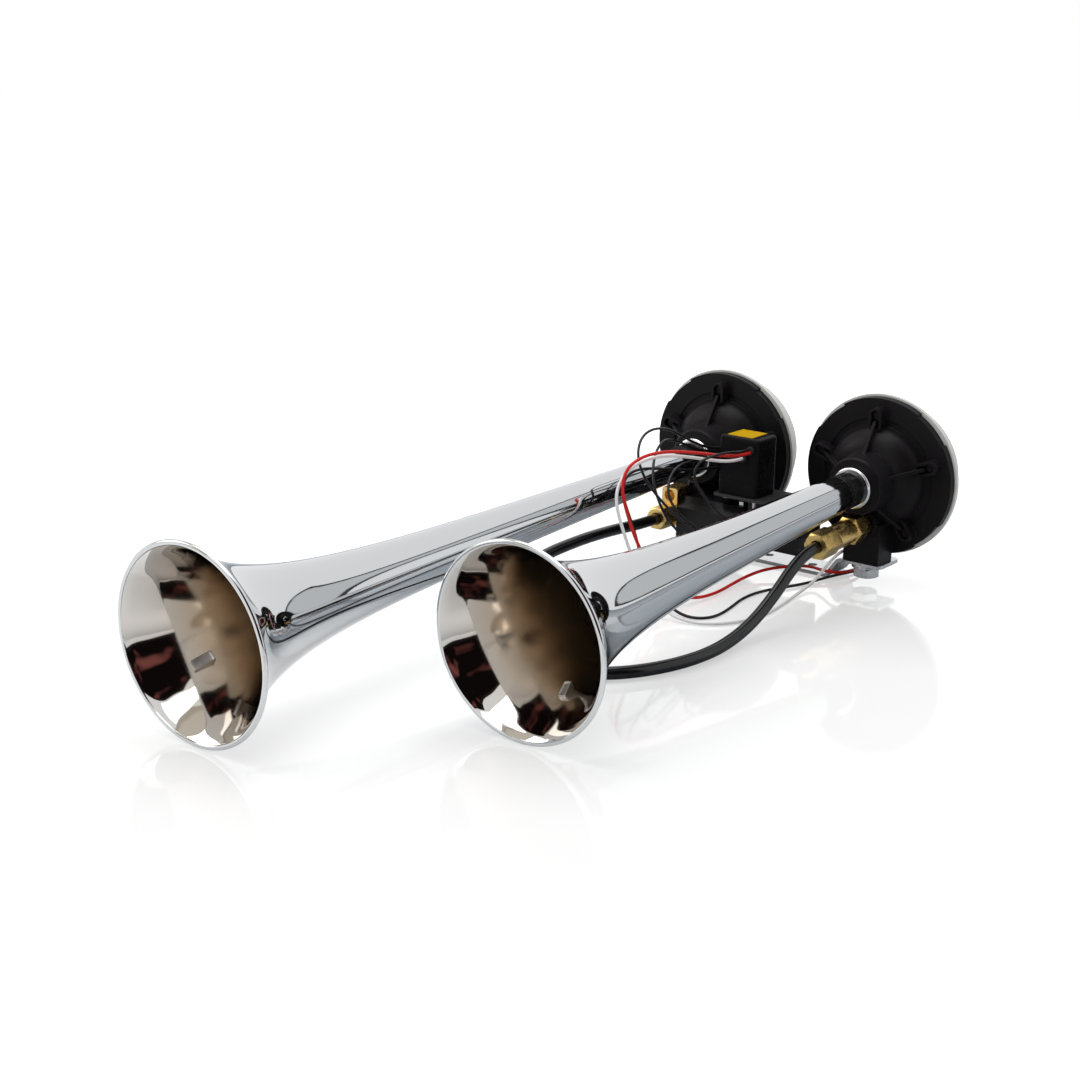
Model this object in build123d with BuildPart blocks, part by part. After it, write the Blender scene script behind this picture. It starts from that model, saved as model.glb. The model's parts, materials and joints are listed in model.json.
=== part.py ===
"""Twin trumpet air horn for a car: two raked horns on one bracket, a solenoid valve and its controller.

Millimetres. +Y runs from the bell mouths to the diaphragm housings, +X to the right, +Z up.
The origin is on the floor, below the middle of the whole object. The bells and the bracket stand on z = 0.
"""

from build123d import *
from math import asin, atan2, cos, exp, hypot, pi, radians, sin, sqrt, tan
import os

os.makedirs("parts", exist_ok=True)

# ---- horns: overall layout ----
horn_spacing = 127.5          # between the two horn axes
axis_height = 75.0            # horn axis above the floor, at the flange face
long_length = 511.0           # flange face to bell mouth, along the axis
short_length = 396.0
bell_radius = 57.5

# ---- trumpets ----
trumpet_wall = 1.2
rim_bead_radius = 1.6         # rolled rim of the bell
long_neck_radius = 10.6
short_neck_radius = 12.0
cone_rise = 7.5               # what the straight taper adds, from neck to mouth
slow_flare = 26.0             # two exponential flares make the bell
slow_flare_length = 66.0
bell_flare_length = 26.0
shoulder_radius = 3.0         # rounded rear end of the trumpet
stub_radius = 8.5             # threaded stub through nut and ring
throat_radius = 5.5
flare_stations = 12

# ---- diaphragm housing ----
flange_radius = 55.0
flange_notch = 1.3            # step down between the lobes
flange_thickness = 6.0
lobe_count = 4
notch_angle = 28.0
face_groove_radius = 41.0     # inner edge of the flat face
face_groove_depth = 1.0
dome_radius = 36.5
dome_crown_radius = 21.5      # where the dome meets the boss
dome_crown = 15.0
dome_swell = 1.5              # how far the dome bulges past a straight slope
dome_swell_place = 0.68       # height of that bulge, as a share of the dome's height
vault_swell_place = 0.6       # the same for the chamber's roof
boss_radius = 20.0
boss_length = 33.0            # from the flange face to the end of the boss
boss_edge = 1.0
housing_wall = 3.5
chamber_radius = 41.5
stub_depth = 12.0
thread_clearance = 0.3
rib_count = 5
rib_root = 2.0                # how deep a rib reaches into the boss
rib_thickness = 2.2
rib_foot = 40.5               # outer end of the rib, inside the ear
rib_top = 22.0                # height of the rib where it meets the boss
ear_width = 9.5               # horseshoe ear round each cover screw
ear_wall = 1.8
ear_inner = 33.0
ear_outer = 49.5
ear_height = 7.5
ear_floor = 3.0               # floor of the screw pocket above the flange face
screw_circle = 44.0
screw_radius = 2.0
thread_relief = 0.1
screw_head_radius = 2.75
screw_head_height = 2.2
screw_length = 16.0
hole_clearance = 0.2          # round a fastener or a spigot, on the radius
nozzle_radius = 10.0
nozzle_gap = 0.3              # between nozzle and diaphragm

# ---- diaphragm, gasket and rear cover ----
diaphragm_radius = 50.0
diaphragm_thickness = 0.5
gasket_thickness = 0.8
cover_rim_radius = 56.5
cover_rim_thickness = 3.0
cover_drum_radius = 48.0
cover_depth = 28.0            # from the flange face to the back of the drum
cover_wall = 2.5
cover_edge = 2.5
screw_post_radius = 4.0
screw_post_length = 8.0

# ---- neck ring and nut ----
ring_radius = 14.4
ring_width = 5.0
nut_radius = 12.2
nut_collar = 4.0
nut_length = 16.0
nut_pockets = 10
nut_pocket_depth = 0.9
nut_rib = 1.6

# ---- foot, inlet boss and bracket ----
foot_width = 27.0
foot_depth = 20.0
foot_front = 17.0             # foot face in front of the flange face
foot_bottom = 16.0            # above the floor
inlet_drop = 29.8             # inlet axis below the horn axis
inlet_boss_radius = 10.5
inlet_boss_proud = 2.5        # in front of the foot
inlet_recess = 1.5
recess_radius = 8.6
inlet_bore = 5.2
passage_radius = 3.0
sheet = 2.5                   # bracket steel
bracket_depth = 28.0
bracket_front = 15.0          # front edge in front of the flange face
riser_start = 37.0            # half length of the floor plate
riser_run = 9.0
tab_end = 15.0                # tab beyond the bolt
mount_hole_radius = 3.3
mount_hole_spacing = 36.0
bend_radius = 4.0             # inside of the sheet's bends
bolt_radius = 5.0
bolt_clearance = 0.5
bolt_length = 18.0
bolt_hex = 17.0               # across flats
hex_face = 0.94               # turned end of a hexagon, as a share of its width across flats
hex_slack = 0.3
bolt_head_height = 6.7
bolt_flange_radius = 10.2
bolt_flange = 1.8
bolt_back = 7.0               # bolt axis in front of the flange face

# ---- hose and brass fittings ----
hose_diameter = 8.0
hose_lead_length = 17.0       # straight piece of hose ahead of the inlet nut
supply_wire = 2.2
thin_supply_wire = 2.0
solenoid_wire = 1.8
nipple_hex = 14.0
nipple_front = 6.5            # in front of the inlet boss
spigot_length = 8.0
union_hex = 18.0
union_hex_length = 13.0
union_radius = 8.4
union_barrel_length = 23.0
nose_radius = 6.4             # end of a fitting inside its nut
union_nose_length = 8.0
ferrule_length = 5.0
nut_hex = 17.0
nut_end = 6.6                 # how far a nut reaches past the hose end
outlet_nut_hex = 15.0
outlet_nose_radius = 5.3
outlet_nose_length = 5.0
hose_clearance = 0.4
nut_clearance = 0.2
brass_bore = 3.0

# ---- valve ----
valve_left = -67.5
valve_length = 53.0
valve_front = 50.0            # in front of the flange face
valve_depth = 30.0
valve_bottom = 18.0
valve_top = 47.0
valve_slope = 7.0
valve_edge = 2.0
plunger_height = 33.0         # plunger axis above the floor
plunger_radius = 5.0
plunger_length = 58.0
running_clearance = 0.1
stop_clearance = 0.3          # left between plunger and core at full travel
core_wall = 1.0
core_flange_radius = 9.0
tube_start = 20.0             # from the valve's left side to the end of the core tube
core_end = 2.3                # from the end of the core to the end of the coil
plunger_travel = 1.5
seat_start = 12.0             # from the valve's left side to the chamber floor
seat_height = 2.0
seat_radius = 3.4
seat_bore = 1.8
seal_radius = 3.8
seal_thickness = 3.0
seal_stand = 0.5              # seal face ahead of the plunger's end
spring_pocket = 10.2
spring_pocket_radius = 3.6
spring_radius = 2.8
spring_wire_radius = 0.4
spring_turns = 6
hump_radius = 8.0
hump_length = 11.3
hump_gap = 1.2                # bare collar of the nipple between hump and foot
hump_wall = 2.0               # front wall of the hump
plug_radius = 3.3             # screw plugs of the drilled passages
plug_height = 3.0
plug_inset = 5.0
plug_spread = 13.0
plug_shank = 5.0
plug_shank_radius = 2.4
block_width = 13.0
block_depth = 18.0
outlet_passage_depth = 6.0    # outlet passage behind the block's front
block_bottom = 25.0
block_top = 52.5
outlet_height = 33.0
inlet_height = 47.0
inlet_port_radius = 4.3
inlet_port_depth = 10.0
passage = 1.8
passage_land = 0.6            # between the chamber floor and the passages beside the seat
port_edge = 1.0

# ---- coil, plate and controller ----
coil_length = 42.0
coil_depth = 29.0
coil_bottom = 19.5
coil_height = 34.5
coil_front = 44.0             # in front of the flange face
coil_edge = 3.0
coil_gap = 2.5                # core tube flange between valve and coil
plate_thickness = 2.0
plate_left = -37.0
plate_depth = 36.0
plate_back = 15.0             # in front of the flange face
plate_corner = 2.0
small_screw_radius = 1.6
small_head_radius = 3.0
small_head_height = 1.8
small_screw_length = 9.0
base_screw_length = 7.0
base_screw_inset = 5.0
screw_spread = 7.0
case_left = -35.0
case_width = 32.0
case_depth = 25.0
case_front = 48.5
case_height = 35.0
base_height = 7.0
base_lip = 3.0                # what the base plugs into the case
case_wall = 1.6
case_edge = 2.5
label_size = 20.0
label_inset = 5.0             # from the left edge of the case
label_inset_back = 2.5        # from its rear edge
label_thickness = 0.3
grommet_radius = 2.8
grommet_neck = 2.0
front_grommets = ((-9.0, 90.0), (-14.4, 83.9))    # x and height on the case's front
side_grommets = ((34.0, 84.0), (37.0, 73.0))     # in front of the flange face and height, on its left side
grommet_length = 2.5
board_thickness = 1.6
board_clearance = 0.3
lip_clearance = 0.2
plug_width = 12.0
plug_depth = 7.0
plug_drop = 10.0              # coil plug below the top of the coil
plug_edge = 1.5
plug_wire_spread = 3.0



class Horn:
    """Place of one horn: its axis runs from the flange face forward and down to the bell mouth."""

    def __init__(self, side, x, length, neck_radius):
        self.side, self.x, self.length, self.neck_radius = side, x, length, neck_radius
        self.mouth = length - rim_bead_radius
        self.rim = bell_radius - rim_bead_radius
        # the rim bead stands on the floor
        slant = asin((axis_height - rim_bead_radius) / hypot(self.mouth, self.rim))
        self.rake = slant - atan2(self.rim, self.mouth)
        self.forward = Vector(0, -cos(self.rake), -sin(self.rake))

    def front_reach(self):
        """How far the rim comes in front of the flange face."""
        return self.mouth * cos(self.rake) + self.rim * sin(self.rake) + rim_bead_radius

    def rear_reach(self):
        """How far the rear cover goes behind the flange face."""
        back = (cover_depth - cover_edge) * cos(self.rake)
        return back + (cover_drum_radius - cover_edge) * sin(self.rake) + cover_edge

    def across(self, t=0.0, drop=0.0):
        """Plane square to the axis and facing the bell, t in front of the flange, drop below the axis."""
        below = Vector(0, sin(self.rake), -cos(self.rake))
        place = Vector(self.x, flange_y, axis_height) + self.forward * t + below * drop
        return Plane(place, x_dir=(1, 0, 0), z_dir=self.forward)


long_horn = Horn("long", -horn_spacing / 2, long_length, long_neck_radius)
short_horn = Horn("short", horn_spacing / 2, short_length, short_neck_radius)
horns = (long_horn, short_horn)
flange_y = (max(h.front_reach() for h in horns) - max(h.rear_reach() for h in horns)) / 2
ring_start = boss_length
nut_start = ring_start + ring_width
body_start = nut_start + nut_length     # rear end of the trumpet's body
inlet_front = foot_front + inlet_boss_proud
inlet_seat = inlet_front - inlet_recess


def write(piece, name):
    """Label a finished piece and write its STEP file."""
    piece.part.label = name
    export_step(piece.part, f"parts/{name}.step")


def side_view(plane):
    """Plane through another plane's axis: local x along that axis, local y its own y."""
    return Plane(plane.origin, x_dir=plane.z_dir, z_dir=-plane.x_dir)


def spun(plane, angle):
    """The same plane turned about its own axis."""
    return Plane(plane.origin, plane.x_dir.rotate(Axis((0, 0, 0), plane.z_dir), angle), plane.z_dir)


def turn(plane, *outline, mode=Mode.ADD):
    """Turn an outline of (along, radius) points about the plane's axis."""
    with BuildSketch(side_view(plane)) as profile:
        Polygon(*outline, align=None)
    revolve(profile.sketch, axis=Axis(plane.origin, plane.z_dir), mode=mode)


def tube(plane, start, end, outer, inner):
    """Turned sleeve from start to end along the plane's axis."""
    turn(plane, (start, inner), (start, outer), (end, outer), (end, inner))


def rod(plane, start, end, radius, mode=Mode.ADD):
    turn(plane, (start, 0), (start, radius), (end, radius), (end, 0), mode=mode)


def drill(start, end, radius):
    """Straight hole between two points."""
    run = Vector(*end) - Vector(*start)
    rod(Plane(start, z_dir=run), 0, run.length, radius, Mode.SUBTRACT)


def hexagon(plane, start, end, across):
    """Hexagonal bar along the plane's axis, its corners turned off at both ends."""
    inner = across / 2 * hex_face
    outer = across / sqrt(3) + hex_slack
    slope = (outer - inner) * tan(radians(30))
    with BuildSketch(plane.offset(start)) as outline:
        RegularPolygon(across / 2, 6, major_radius=False)
    extrude(outline.sketch, amount=end - start)
    turn(
        plane,
        (start, 0),
        (start, inner),
        (start + slope, outer),
        (end - slope, outer),
        (end, inner),
        (end, 0),
        mode=Mode.INTERSECT,
    )


def block(left, right, front, back, bottom, top):
    """Upright block: x from left to right, y front and back given in front of the flange face."""
    with BuildSketch(Plane.XY.offset(bottom)) as footprint:
        with Locations(((left + right) / 2, flange_y - (front + back) / 2)):
            Rectangle(right - left, front - back)
    extrude(footprint.sketch, amount=top - bottom)


# ---- the two horns ----


def trumpet(horn):
    """Spun trumpet: thin flared wall, rolled rim, rounded rear shoulder and threaded stub."""
    run = horn.mouth - body_start
    quick_flare = horn.rim - horn.neck_radius - cone_rise - slow_flare

    def radius(u):
        """Outer radius u behind the mouth: a straight taper and two exponential flares."""
        cone = horn.neck_radius + cone_rise * (1 - u / run)
        return cone + slow_flare * exp(-u / slow_flare_length) + quick_flare * exp(-u / bell_flare_length)

    # stations crowd towards the mouth, where the wall turns fastest
    rear = body_start + shoulder_radius
    spread = [(k / flare_stations) ** 2 for k in range(flare_stations + 1)]
    stations = [(horn.mouth - rear) * s for s in spread]
    outer = [(horn.mouth - u, radius(u)) for u in stations]
    inner = [(t, r - trumpet_wall) for t, r in outer]
    shoulder = outer[-1][1] - shoulder_radius
    stub_end = boss_length - stub_depth
    with BuildPart() as bell:
        with BuildSketch(side_view(horn.across())):
            with BuildLine():
                Spline(*outer)
                CenterArc((rear, shoulder), shoulder_radius, 90, 90)
                Polyline(
                    (body_start, shoulder),
                    (body_start, stub_radius),
                    (stub_end, stub_radius),
                    (stub_end, throat_radius),
                    (body_start + trumpet_wall, throat_radius),
                    inner[-1],
                )
                Spline(*inner)
                Line(inner[0], outer[0])
            make_face()
            with Locations((horn.mouth, horn.rim)):
                Circle(rim_bead_radius)
        revolve(axis=Axis(horn.across().origin, horn.forward))
    write(bell, f"{horn.side}_trumpet")


def neck(horn):
    """Turned ring and ribbed black nut between the housing and the trumpet."""
    bore = stub_radius + thread_clearance
    with BuildPart() as ring:
        tube(horn.across(), ring_start, nut_start, ring_radius, bore)
        rims = ring.edges().filter_by(GeomType.CIRCLE).sort_by(SortBy.RADIUS)[-2:]
        fillet(rims, radius=ring_width / 4)
    write(ring, f"{horn.side}_neck_ring")

    pocket_start = nut_start + nut_collar
    with BuildPart() as nut:
        tube(horn.across(), nut_start, body_start, nut_radius, bore)
        with BuildSketch(horn.across(pocket_start)):
            with PolarLocations(nut_radius, nut_pockets):
                Rectangle(2 * nut_pocket_depth, 2 * pi * nut_radius / nut_pockets - nut_rib)
        extrude(amount=body_start - nut_rib - pocket_start, mode=Mode.SUBTRACT)
    write(nut, f"{horn.side}_neck_nut")


def lobed_outline():
    """Flange outline: lobes at the full radius, shallow notches between them."""
    pitch = 360 / lobe_count
    lobe = pitch - notch_angle
    for k in range(lobe_count):
        start = k * pitch - lobe / 2
        high = CenterArc((0, 0), flange_radius, start, lobe)
        low = CenterArc((0, 0), flange_radius - flange_notch, start + lobe, notch_angle)
        Line(high @ 1, low @ 0)
        Line(low @ 1, Vector(flange_radius, 0).rotate(Axis.Z, start + pitch))


def housing(horn):
    """Cast front housing: flange, dome, ribs and screw ears, boss, nozzle, inlet boss and foot."""
    face = horn.across()
    inlet = horn.across(0, inlet_drop)
    ear_length = ear_outer - ear_inner
    ears = PolarLocations((ear_inner + ear_outer) / 2, rib_count, start_angle=90)
    screws = PolarLocations(screw_circle, rib_count, start_angle=90)
    with BuildPart() as cast:
        with BuildSketch(face):
            with BuildLine():
                lobed_outline()
            make_face()
        extrude(amount=-flange_thickness)
        # ring groove, convex dome and boss
        with BuildSketch(side_view(face)) as groove:
            with Locations((0, (face_groove_radius + dome_radius) / 2)):
                Rectangle(2 * face_groove_depth, face_groove_radius - dome_radius)
        revolve(axis=Axis(face.origin, face.z_dir), mode=Mode.SUBTRACT)
        with BuildSketch(side_view(face)) as dome:
            with BuildLine():
                skin = ThreePointArc(
                    (-face_groove_depth, dome_radius),
                    (dome_crown * dome_swell_place, (dome_radius + dome_crown_radius) / 2 + dome_swell),
                    (dome_crown, dome_crown_radius),
                )
                Polyline(
                    skin @ 1,
                    (boss_length - boss_edge, boss_radius),
                    (boss_length, boss_radius - boss_edge),
                    (boss_length, 0),
                    (-flange_thickness / 2, 0),
                    (-flange_thickness / 2, dome_radius),
                    skin @ 0,
                )
            make_face()
        revolve(axis=Axis(face.origin, face.z_dir))
        # ears with a pocket for each cover screw, then the ribs
        with BuildSketch(face):
            with ears:
                SlotOverall(ear_length, ear_width)
        extrude(amount=ear_height)
        with BuildSketch(face.offset(ear_floor)):
            with ears:
                SlotOverall(ear_length - 2 * ear_wall, ear_width - 2 * ear_wall)
        extrude(amount=ear_height, mode=Mode.SUBTRACT)
        for k in range(rib_count):
            with BuildSketch(side_view(spun(face, k * 360 / rib_count))):
                Polygon(
                    (-flange_thickness / 2, boss_radius - rib_root),
                    (-flange_thickness / 2, rib_foot),
                    (ear_height, rib_foot),
                    (rib_top, boss_radius),
                    (rib_top, boss_radius - rib_root),
                    align=None,
                )
            extrude(amount=rib_thickness / 2, both=True)
        # foot and inlet boss
        block(
            horn.x - foot_width / 2,
            horn.x + foot_width / 2,
            foot_front,
            foot_front - foot_depth,
            foot_bottom,
            axis_height - inlet_drop,
        )
        rod(inlet, -flange_thickness / 2, inlet_front, inlet_boss_radius)
        # chamber in front of the diaphragm, with the nozzle standing in it
        roof = dome_crown - housing_wall
        with BuildSketch(side_view(face)) as hollow:
            with BuildLine():
                vault = ThreePointArc(
                    (-housing_wall, dome_radius - housing_wall / 2),
                    (roof * vault_swell_place, (dome_radius + dome_crown_radius - housing_wall) / 2),
                    (roof, dome_crown_radius - housing_wall),
                )
                Polyline(
                    vault @ 1,
                    (roof, nozzle_radius),
                    (-flange_thickness + nozzle_gap, nozzle_radius),
                    (-flange_thickness + nozzle_gap, 0),
                    (-flange_thickness, 0),
                    (-flange_thickness, chamber_radius),
                    (-housing_wall, chamber_radius),
                    vault @ 0,
                )
            make_face()
        revolve(axis=Axis(face.origin, face.z_dir), mode=Mode.SUBTRACT)
        rod(face, -flange_thickness, boss_length, throat_radius, Mode.SUBTRACT)
        rod(face, boss_length - stub_depth, boss_length, stub_radius + thread_clearance, Mode.SUBTRACT)
        # inlet recess, thread and passage
        rod(inlet, inlet_seat, inlet_front, recess_radius, Mode.SUBTRACT)
        rod(inlet, inlet_seat - spigot_length, inlet_seat, inlet_bore, Mode.SUBTRACT)
        rod(inlet, -housing_wall, inlet_seat, passage_radius, Mode.SUBTRACT)
        # cover screw holes and foot bolt hole
        with BuildSketch(face.offset(-flange_thickness)):
            with screws:
                Circle(screw_radius + hole_clearance)
        extrude(amount=2 * flange_thickness, mode=Mode.SUBTRACT)
        bolt_foot = (horn.x, flange_y - bolt_back, foot_bottom)
        bolt_end = (horn.x, flange_y - bolt_back, foot_bottom + bolt_length)
        drill(bolt_foot, bolt_end, bolt_radius + hole_clearance)
    write(cast, f"{horn.side}_housing")


def rear_stack(horn):
    """Steel diaphragm, clamping gasket, spun rear cover with screw posts, and the cover screws."""
    face = horn.across()
    gasket_start = -flange_thickness - diaphragm_thickness
    ledge = gasket_start - gasket_thickness
    screws = PolarLocations(screw_circle, rib_count, start_angle=90)
    with BuildPart() as diaphragm:
        rod(face, gasket_start, -flange_thickness, diaphragm_radius)
        with BuildSketch(face.offset(gasket_start)):
            with screws:
                Circle(screw_radius + hole_clearance)
        extrude(amount=diaphragm_thickness, mode=Mode.SUBTRACT)
    write(diaphragm, f"{horn.side}_diaphragm")

    with BuildPart() as gasket:
        tube(face, ledge, gasket_start, diaphragm_radius, chamber_radius)
        with BuildSketch(face.offset(ledge)):
            with screws:
                Circle(screw_radius + hole_clearance)
        extrude(amount=gasket_thickness, mode=Mode.SUBTRACT)
    write(gasket, f"{horn.side}_gasket")

    back = -cover_depth
    recess = diaphragm_radius + hole_clearance
    inside = cover_drum_radius - cover_wall
    with BuildPart() as cover:
        turn(
            face,
            (-flange_thickness, recess),
            (-flange_thickness, cover_rim_radius),
            (-flange_thickness - cover_rim_thickness, cover_rim_radius),
            (-flange_thickness - cover_rim_thickness, cover_drum_radius),
            (back, cover_drum_radius),
            (back, 0),
            (back + cover_wall, 0),
            (back + cover_wall, inside),
            (ledge, inside),
            (ledge, recess),
        )
        rims = cover.edges().filter_by(GeomType.CIRCLE).group_by(Axis(face.origin, face.z_dir))[0]
        fillet(rims, radius=cover_edge)
        with BuildSketch(face.offset(ledge)):
            with screws:
                Circle(screw_post_radius)
        extrude(amount=-screw_post_length)
        with BuildSketch(face.offset(ledge)):
            with screws:
                Circle(screw_radius)
        extrude(amount=-screw_post_length, mode=Mode.SUBTRACT)
    write(cover, f"{horn.side}_rear_cover")

    with BuildPart() as fasteners:
        with BuildSketch(face.offset(ear_floor)):
            with screws:
                Circle(screw_head_radius)
        extrude(amount=screw_head_height)
        with BuildSketch(face.offset(ear_floor)):
            with screws:
                Circle(screw_radius - thread_relief)
        extrude(amount=-screw_length)
    write(fasteners, f"{horn.side}_cover_screws")


def foot_bolt(horn):
    """Flange head bolt from below, through the bracket tab into the foot."""
    tab_bottom = foot_bottom - sheet
    down = Plane((horn.x, flange_y - bolt_back, tab_bottom), x_dir=(1, 0, 0), z_dir=(0, 0, -1))
    with BuildPart() as bolt:
        hexagon(down, bolt_flange, bolt_flange + bolt_head_height, bolt_hex)
        rod(down, 0, bolt_flange, bolt_flange_radius)
        rod(down, -bolt_length, 0, bolt_radius)
    write(bolt, f"{horn.side}_foot_bolt")


for horn in horns:
    trumpet(horn)
    neck(horn)
    housing(horn)
    rear_stack(horn)
    foot_bolt(horn)

# ---- bracket: floor plate, two risers and a tab under each foot ----

tab_reach = horn_spacing / 2 + tab_end
with BuildPart() as mounting_bracket:
    with BuildSketch(Plane.XZ.offset(bracket_front - flange_y)):
        with BuildLine():
            FilletPolyline(
                (-tab_reach, foot_bottom - sheet),
                (-riser_start - riser_run, foot_bottom - sheet),
                (-riser_start, 0),
                (riser_start, 0),
                (riser_start + riser_run, foot_bottom - sheet),
                (tab_reach, foot_bottom - sheet),
                radius=bend_radius,
            )
            offset(amount=sheet, side=Side.LEFT)
        make_face()
    extrude(amount=-bracket_depth)
    corners = mounting_bracket.edges().filter_by(Axis.Z).group_by(Axis.X)
    fillet(corners[0] + corners[-1], radius=bend_radius)
    with BuildSketch(Plane.XY):
        with Locations((0, flange_y - bracket_front + bracket_depth / 2)):
            with GridLocations(mount_hole_spacing, 0, 2, 1):
                Circle(mount_hole_radius)
    extrude(amount=sheet, mode=Mode.SUBTRACT)
    with BuildSketch(Plane.XY.offset(foot_bottom - sheet)):
        with Locations((0, flange_y - bolt_back)):
            with GridLocations(horn_spacing, 0, 2, 1):
                Circle(bolt_radius + bolt_clearance)
    extrude(amount=sheet, mode=Mode.SUBTRACT)
write(mounting_bracket, "mounting_bracket")

# ---- short horn's inlet: nipple, union, compression nut and ferrule on one axis ----

inlet_line = short_horn.across(0, inlet_drop)
spigot_radius = inlet_bore - hole_clearance
union_start = inlet_front + nipple_front
union_barrel = union_start + union_hex_length
union_end = union_barrel + union_barrel_length
inlet_hose_face = union_end + union_nose_length + ferrule_length

with BuildPart() as inlet_nipple:
    hexagon(inlet_line, inlet_seat, union_start, nipple_hex)
    rod(inlet_line, inlet_seat - spigot_length, inlet_seat, spigot_radius)
    rod(inlet_line, union_start, union_start + spigot_length, spigot_radius)
    rod(inlet_line, inlet_seat - spigot_length, union_start + spigot_length, brass_bore, Mode.SUBTRACT)
write(inlet_nipple, "inlet_nipple")

with BuildPart() as inlet_union:
    hexagon(inlet_line, union_start, union_barrel, union_hex)
    rod(inlet_line, union_barrel, union_end, union_radius)
    rod(inlet_line, union_end, union_end + union_nose_length, nose_radius)
    rod(inlet_line, union_start, union_start + spigot_length, inlet_bore, Mode.SUBTRACT)
    rod(inlet_line, union_start, union_end + union_nose_length, brass_bore, Mode.SUBTRACT)
write(inlet_union, "inlet_union")


def hose_nut(line, start, hose_face, across, nose):
    """Compression nut: hexagon over a fitting's nose, with a smaller bore for the hose."""
    end = hose_face + nut_end
    hexagon(line, start, end, across)
    rod(line, start, hose_face, nose + nut_clearance, Mode.SUBTRACT)
    rod(line, hose_face, end, hose_diameter / 2 + hose_clearance, Mode.SUBTRACT)


with BuildPart() as inlet_nut:
    hose_nut(inlet_line, union_end, inlet_hose_face, nut_hex, nose_radius)
write(inlet_nut, "inlet_nut")

with BuildPart() as inlet_ferrule:
    tube(inlet_line, inlet_hose_face - ferrule_length, inlet_hose_face, nose_radius, brass_bore)
write(inlet_ferrule, "inlet_ferrule")

# ---- valve: cast body, port block, plunger and core tube on one axis along X ----

valve_right = valve_left + valve_length
valve_back = valve_front - valve_depth
plunger_front = valve_front - valve_depth / 2
long_inlet = long_horn.across(0, inlet_drop)
hump_start = inlet_front + hump_gap
hump_end = hump_start + hump_length
stem = Plane(
    (valve_left, flange_y - plunger_front, plunger_height),
    x_dir=(0, 1, 0),
    z_dir=(1, 0, 0),
)
chamber_bore = plunger_radius + running_clearance + core_wall
seat_face = seat_start + seat_height
plunger_start = seat_face + seal_stand
plunger_end = plunger_start + plunger_length
core_gap = plunger_travel + stop_clearance
core_face = plunger_end + core_gap
coil_start = valve_length + coil_gap
core_tip = coil_start + coil_length - core_end
spring_length = spring_pocket + core_gap
block_left = valve_left - block_width
block_mid = valve_left - block_width / 2
passage_front = valve_front - outlet_passage_depth
inlet_place = Vector(block_mid, flange_y - valve_front, inlet_height)
outlet_place = Vector(block_mid, flange_y - valve_front, outlet_height)
inlet_port = Plane(inlet_place, x_dir=(1, 0, 0), z_dir=(0, -1, 0))
outlet = Plane(outlet_place, x_dir=(1, 0, 0), z_dir=(0, -1, 0))
hump_deep = hump_end - hump_wall
plug_x = valve_right - plug_inset
plug_y = flange_y - (valve_front - valve_slope + valve_back) / 2

plug_spots = Locations((plug_x, plug_y - plug_spread / 2), (plug_x, plug_y + plug_spread / 2))
with BuildPart() as valve_body:
    with BuildSketch(Plane.YZ.offset(valve_left)):
        Polygon(
            (flange_y - valve_front, valve_bottom),
            (flange_y - valve_back, valve_bottom),
            (flange_y - valve_back, valve_top),
            (flange_y - valve_front + valve_slope, valve_top),
            (flange_y - valve_front, valve_top - valve_slope),
            align=None,
        )
    extrude(amount=valve_length)
    ends = valve_body.faces().sort_by(Axis.X)
    chamfer(ends[-1].edges(), length=valve_edge)
    rod(long_inlet, hump_start, hump_end, hump_radius)
    # stepped bore for core tube and plunger, with the seat standing on its floor
    rod(stem, seat_start, valve_length, chamber_bore + hole_clearance, Mode.SUBTRACT)
    rod(stem, seat_start, seat_face, seat_radius)
    rod(stem, 0, seat_face, seat_bore, Mode.SUBTRACT)
    # passages from the chamber: forward and left to the outlet, and up to the long horn's nipple
    beside_seat = stem.origin + Vector(seat_start + passage + passage_land, 0, 0)
    outlet_bend = beside_seat + Vector(0, plunger_front - passage_front, 0)
    drill(Vector(valve_left, outlet_bend.Y, outlet_bend.Z), outlet_bend, passage)
    drill(outlet_bend, beside_seat - Vector(0, seat_radius + passage, 0), passage)
    above_seat = beside_seat + Vector(0, 0, seat_radius + passage)
    drill(long_inlet.origin + long_horn.forward * hump_deep, above_seat, passage)
    rod(long_inlet, hump_start, hump_deep, inlet_bore, Mode.SUBTRACT)
    # threads for the passage plugs
    with BuildSketch(Plane.XY.offset(valve_top)) as plug_holes:
        with plug_spots:
            Circle(plug_shank_radius + hole_clearance)
    extrude(amount=-plug_shank, mode=Mode.SUBTRACT)
write(valve_body, "valve_body")

with BuildPart() as port_block:
    block(block_left, valve_left, valve_front, valve_front - block_depth, block_bottom, block_top)
    chamfer(port_block.edges().filter_by(Axis.Y), length=port_edge)
    rod(outlet, 0, outlet_nose_length, outlet_nose_radius)
    rod(inlet_port, -inlet_port_depth, 0, inlet_port_radius, Mode.SUBTRACT)
    # air comes in at the top port, down to the seat, and leaves below it
    turning = Vector(block_mid, flange_y - plunger_front, inlet_height)
    drill(inlet_place, turning, passage)
    drill(turning, turning - Vector(0, 0, inlet_height - plunger_height), passage)
    drill((block_mid, flange_y - plunger_front, plunger_height), stem.origin, passage)
    outlet_turn = Vector(block_mid, flange_y - passage_front, outlet_height)
    drill(outlet_place - Vector(0, outlet_nose_length, 0), outlet_turn, passage)
    drill(outlet_turn, outlet_turn + Vector(block_width / 2, 0, 0), passage)
write(port_block, "port_block")

outlet_hose_face = outlet_nose_length + ferrule_length
with BuildPart() as outlet_nut:
    hose_nut(outlet, 0, outlet_hose_face, outlet_nut_hex, outlet_nose_radius)
write(outlet_nut, "outlet_nut")

with BuildPart() as outlet_ferrule:
    tube(outlet, outlet_nose_length, outlet_hose_face, outlet_nose_radius, brass_bore)
write(outlet_ferrule, "outlet_ferrule")

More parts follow.
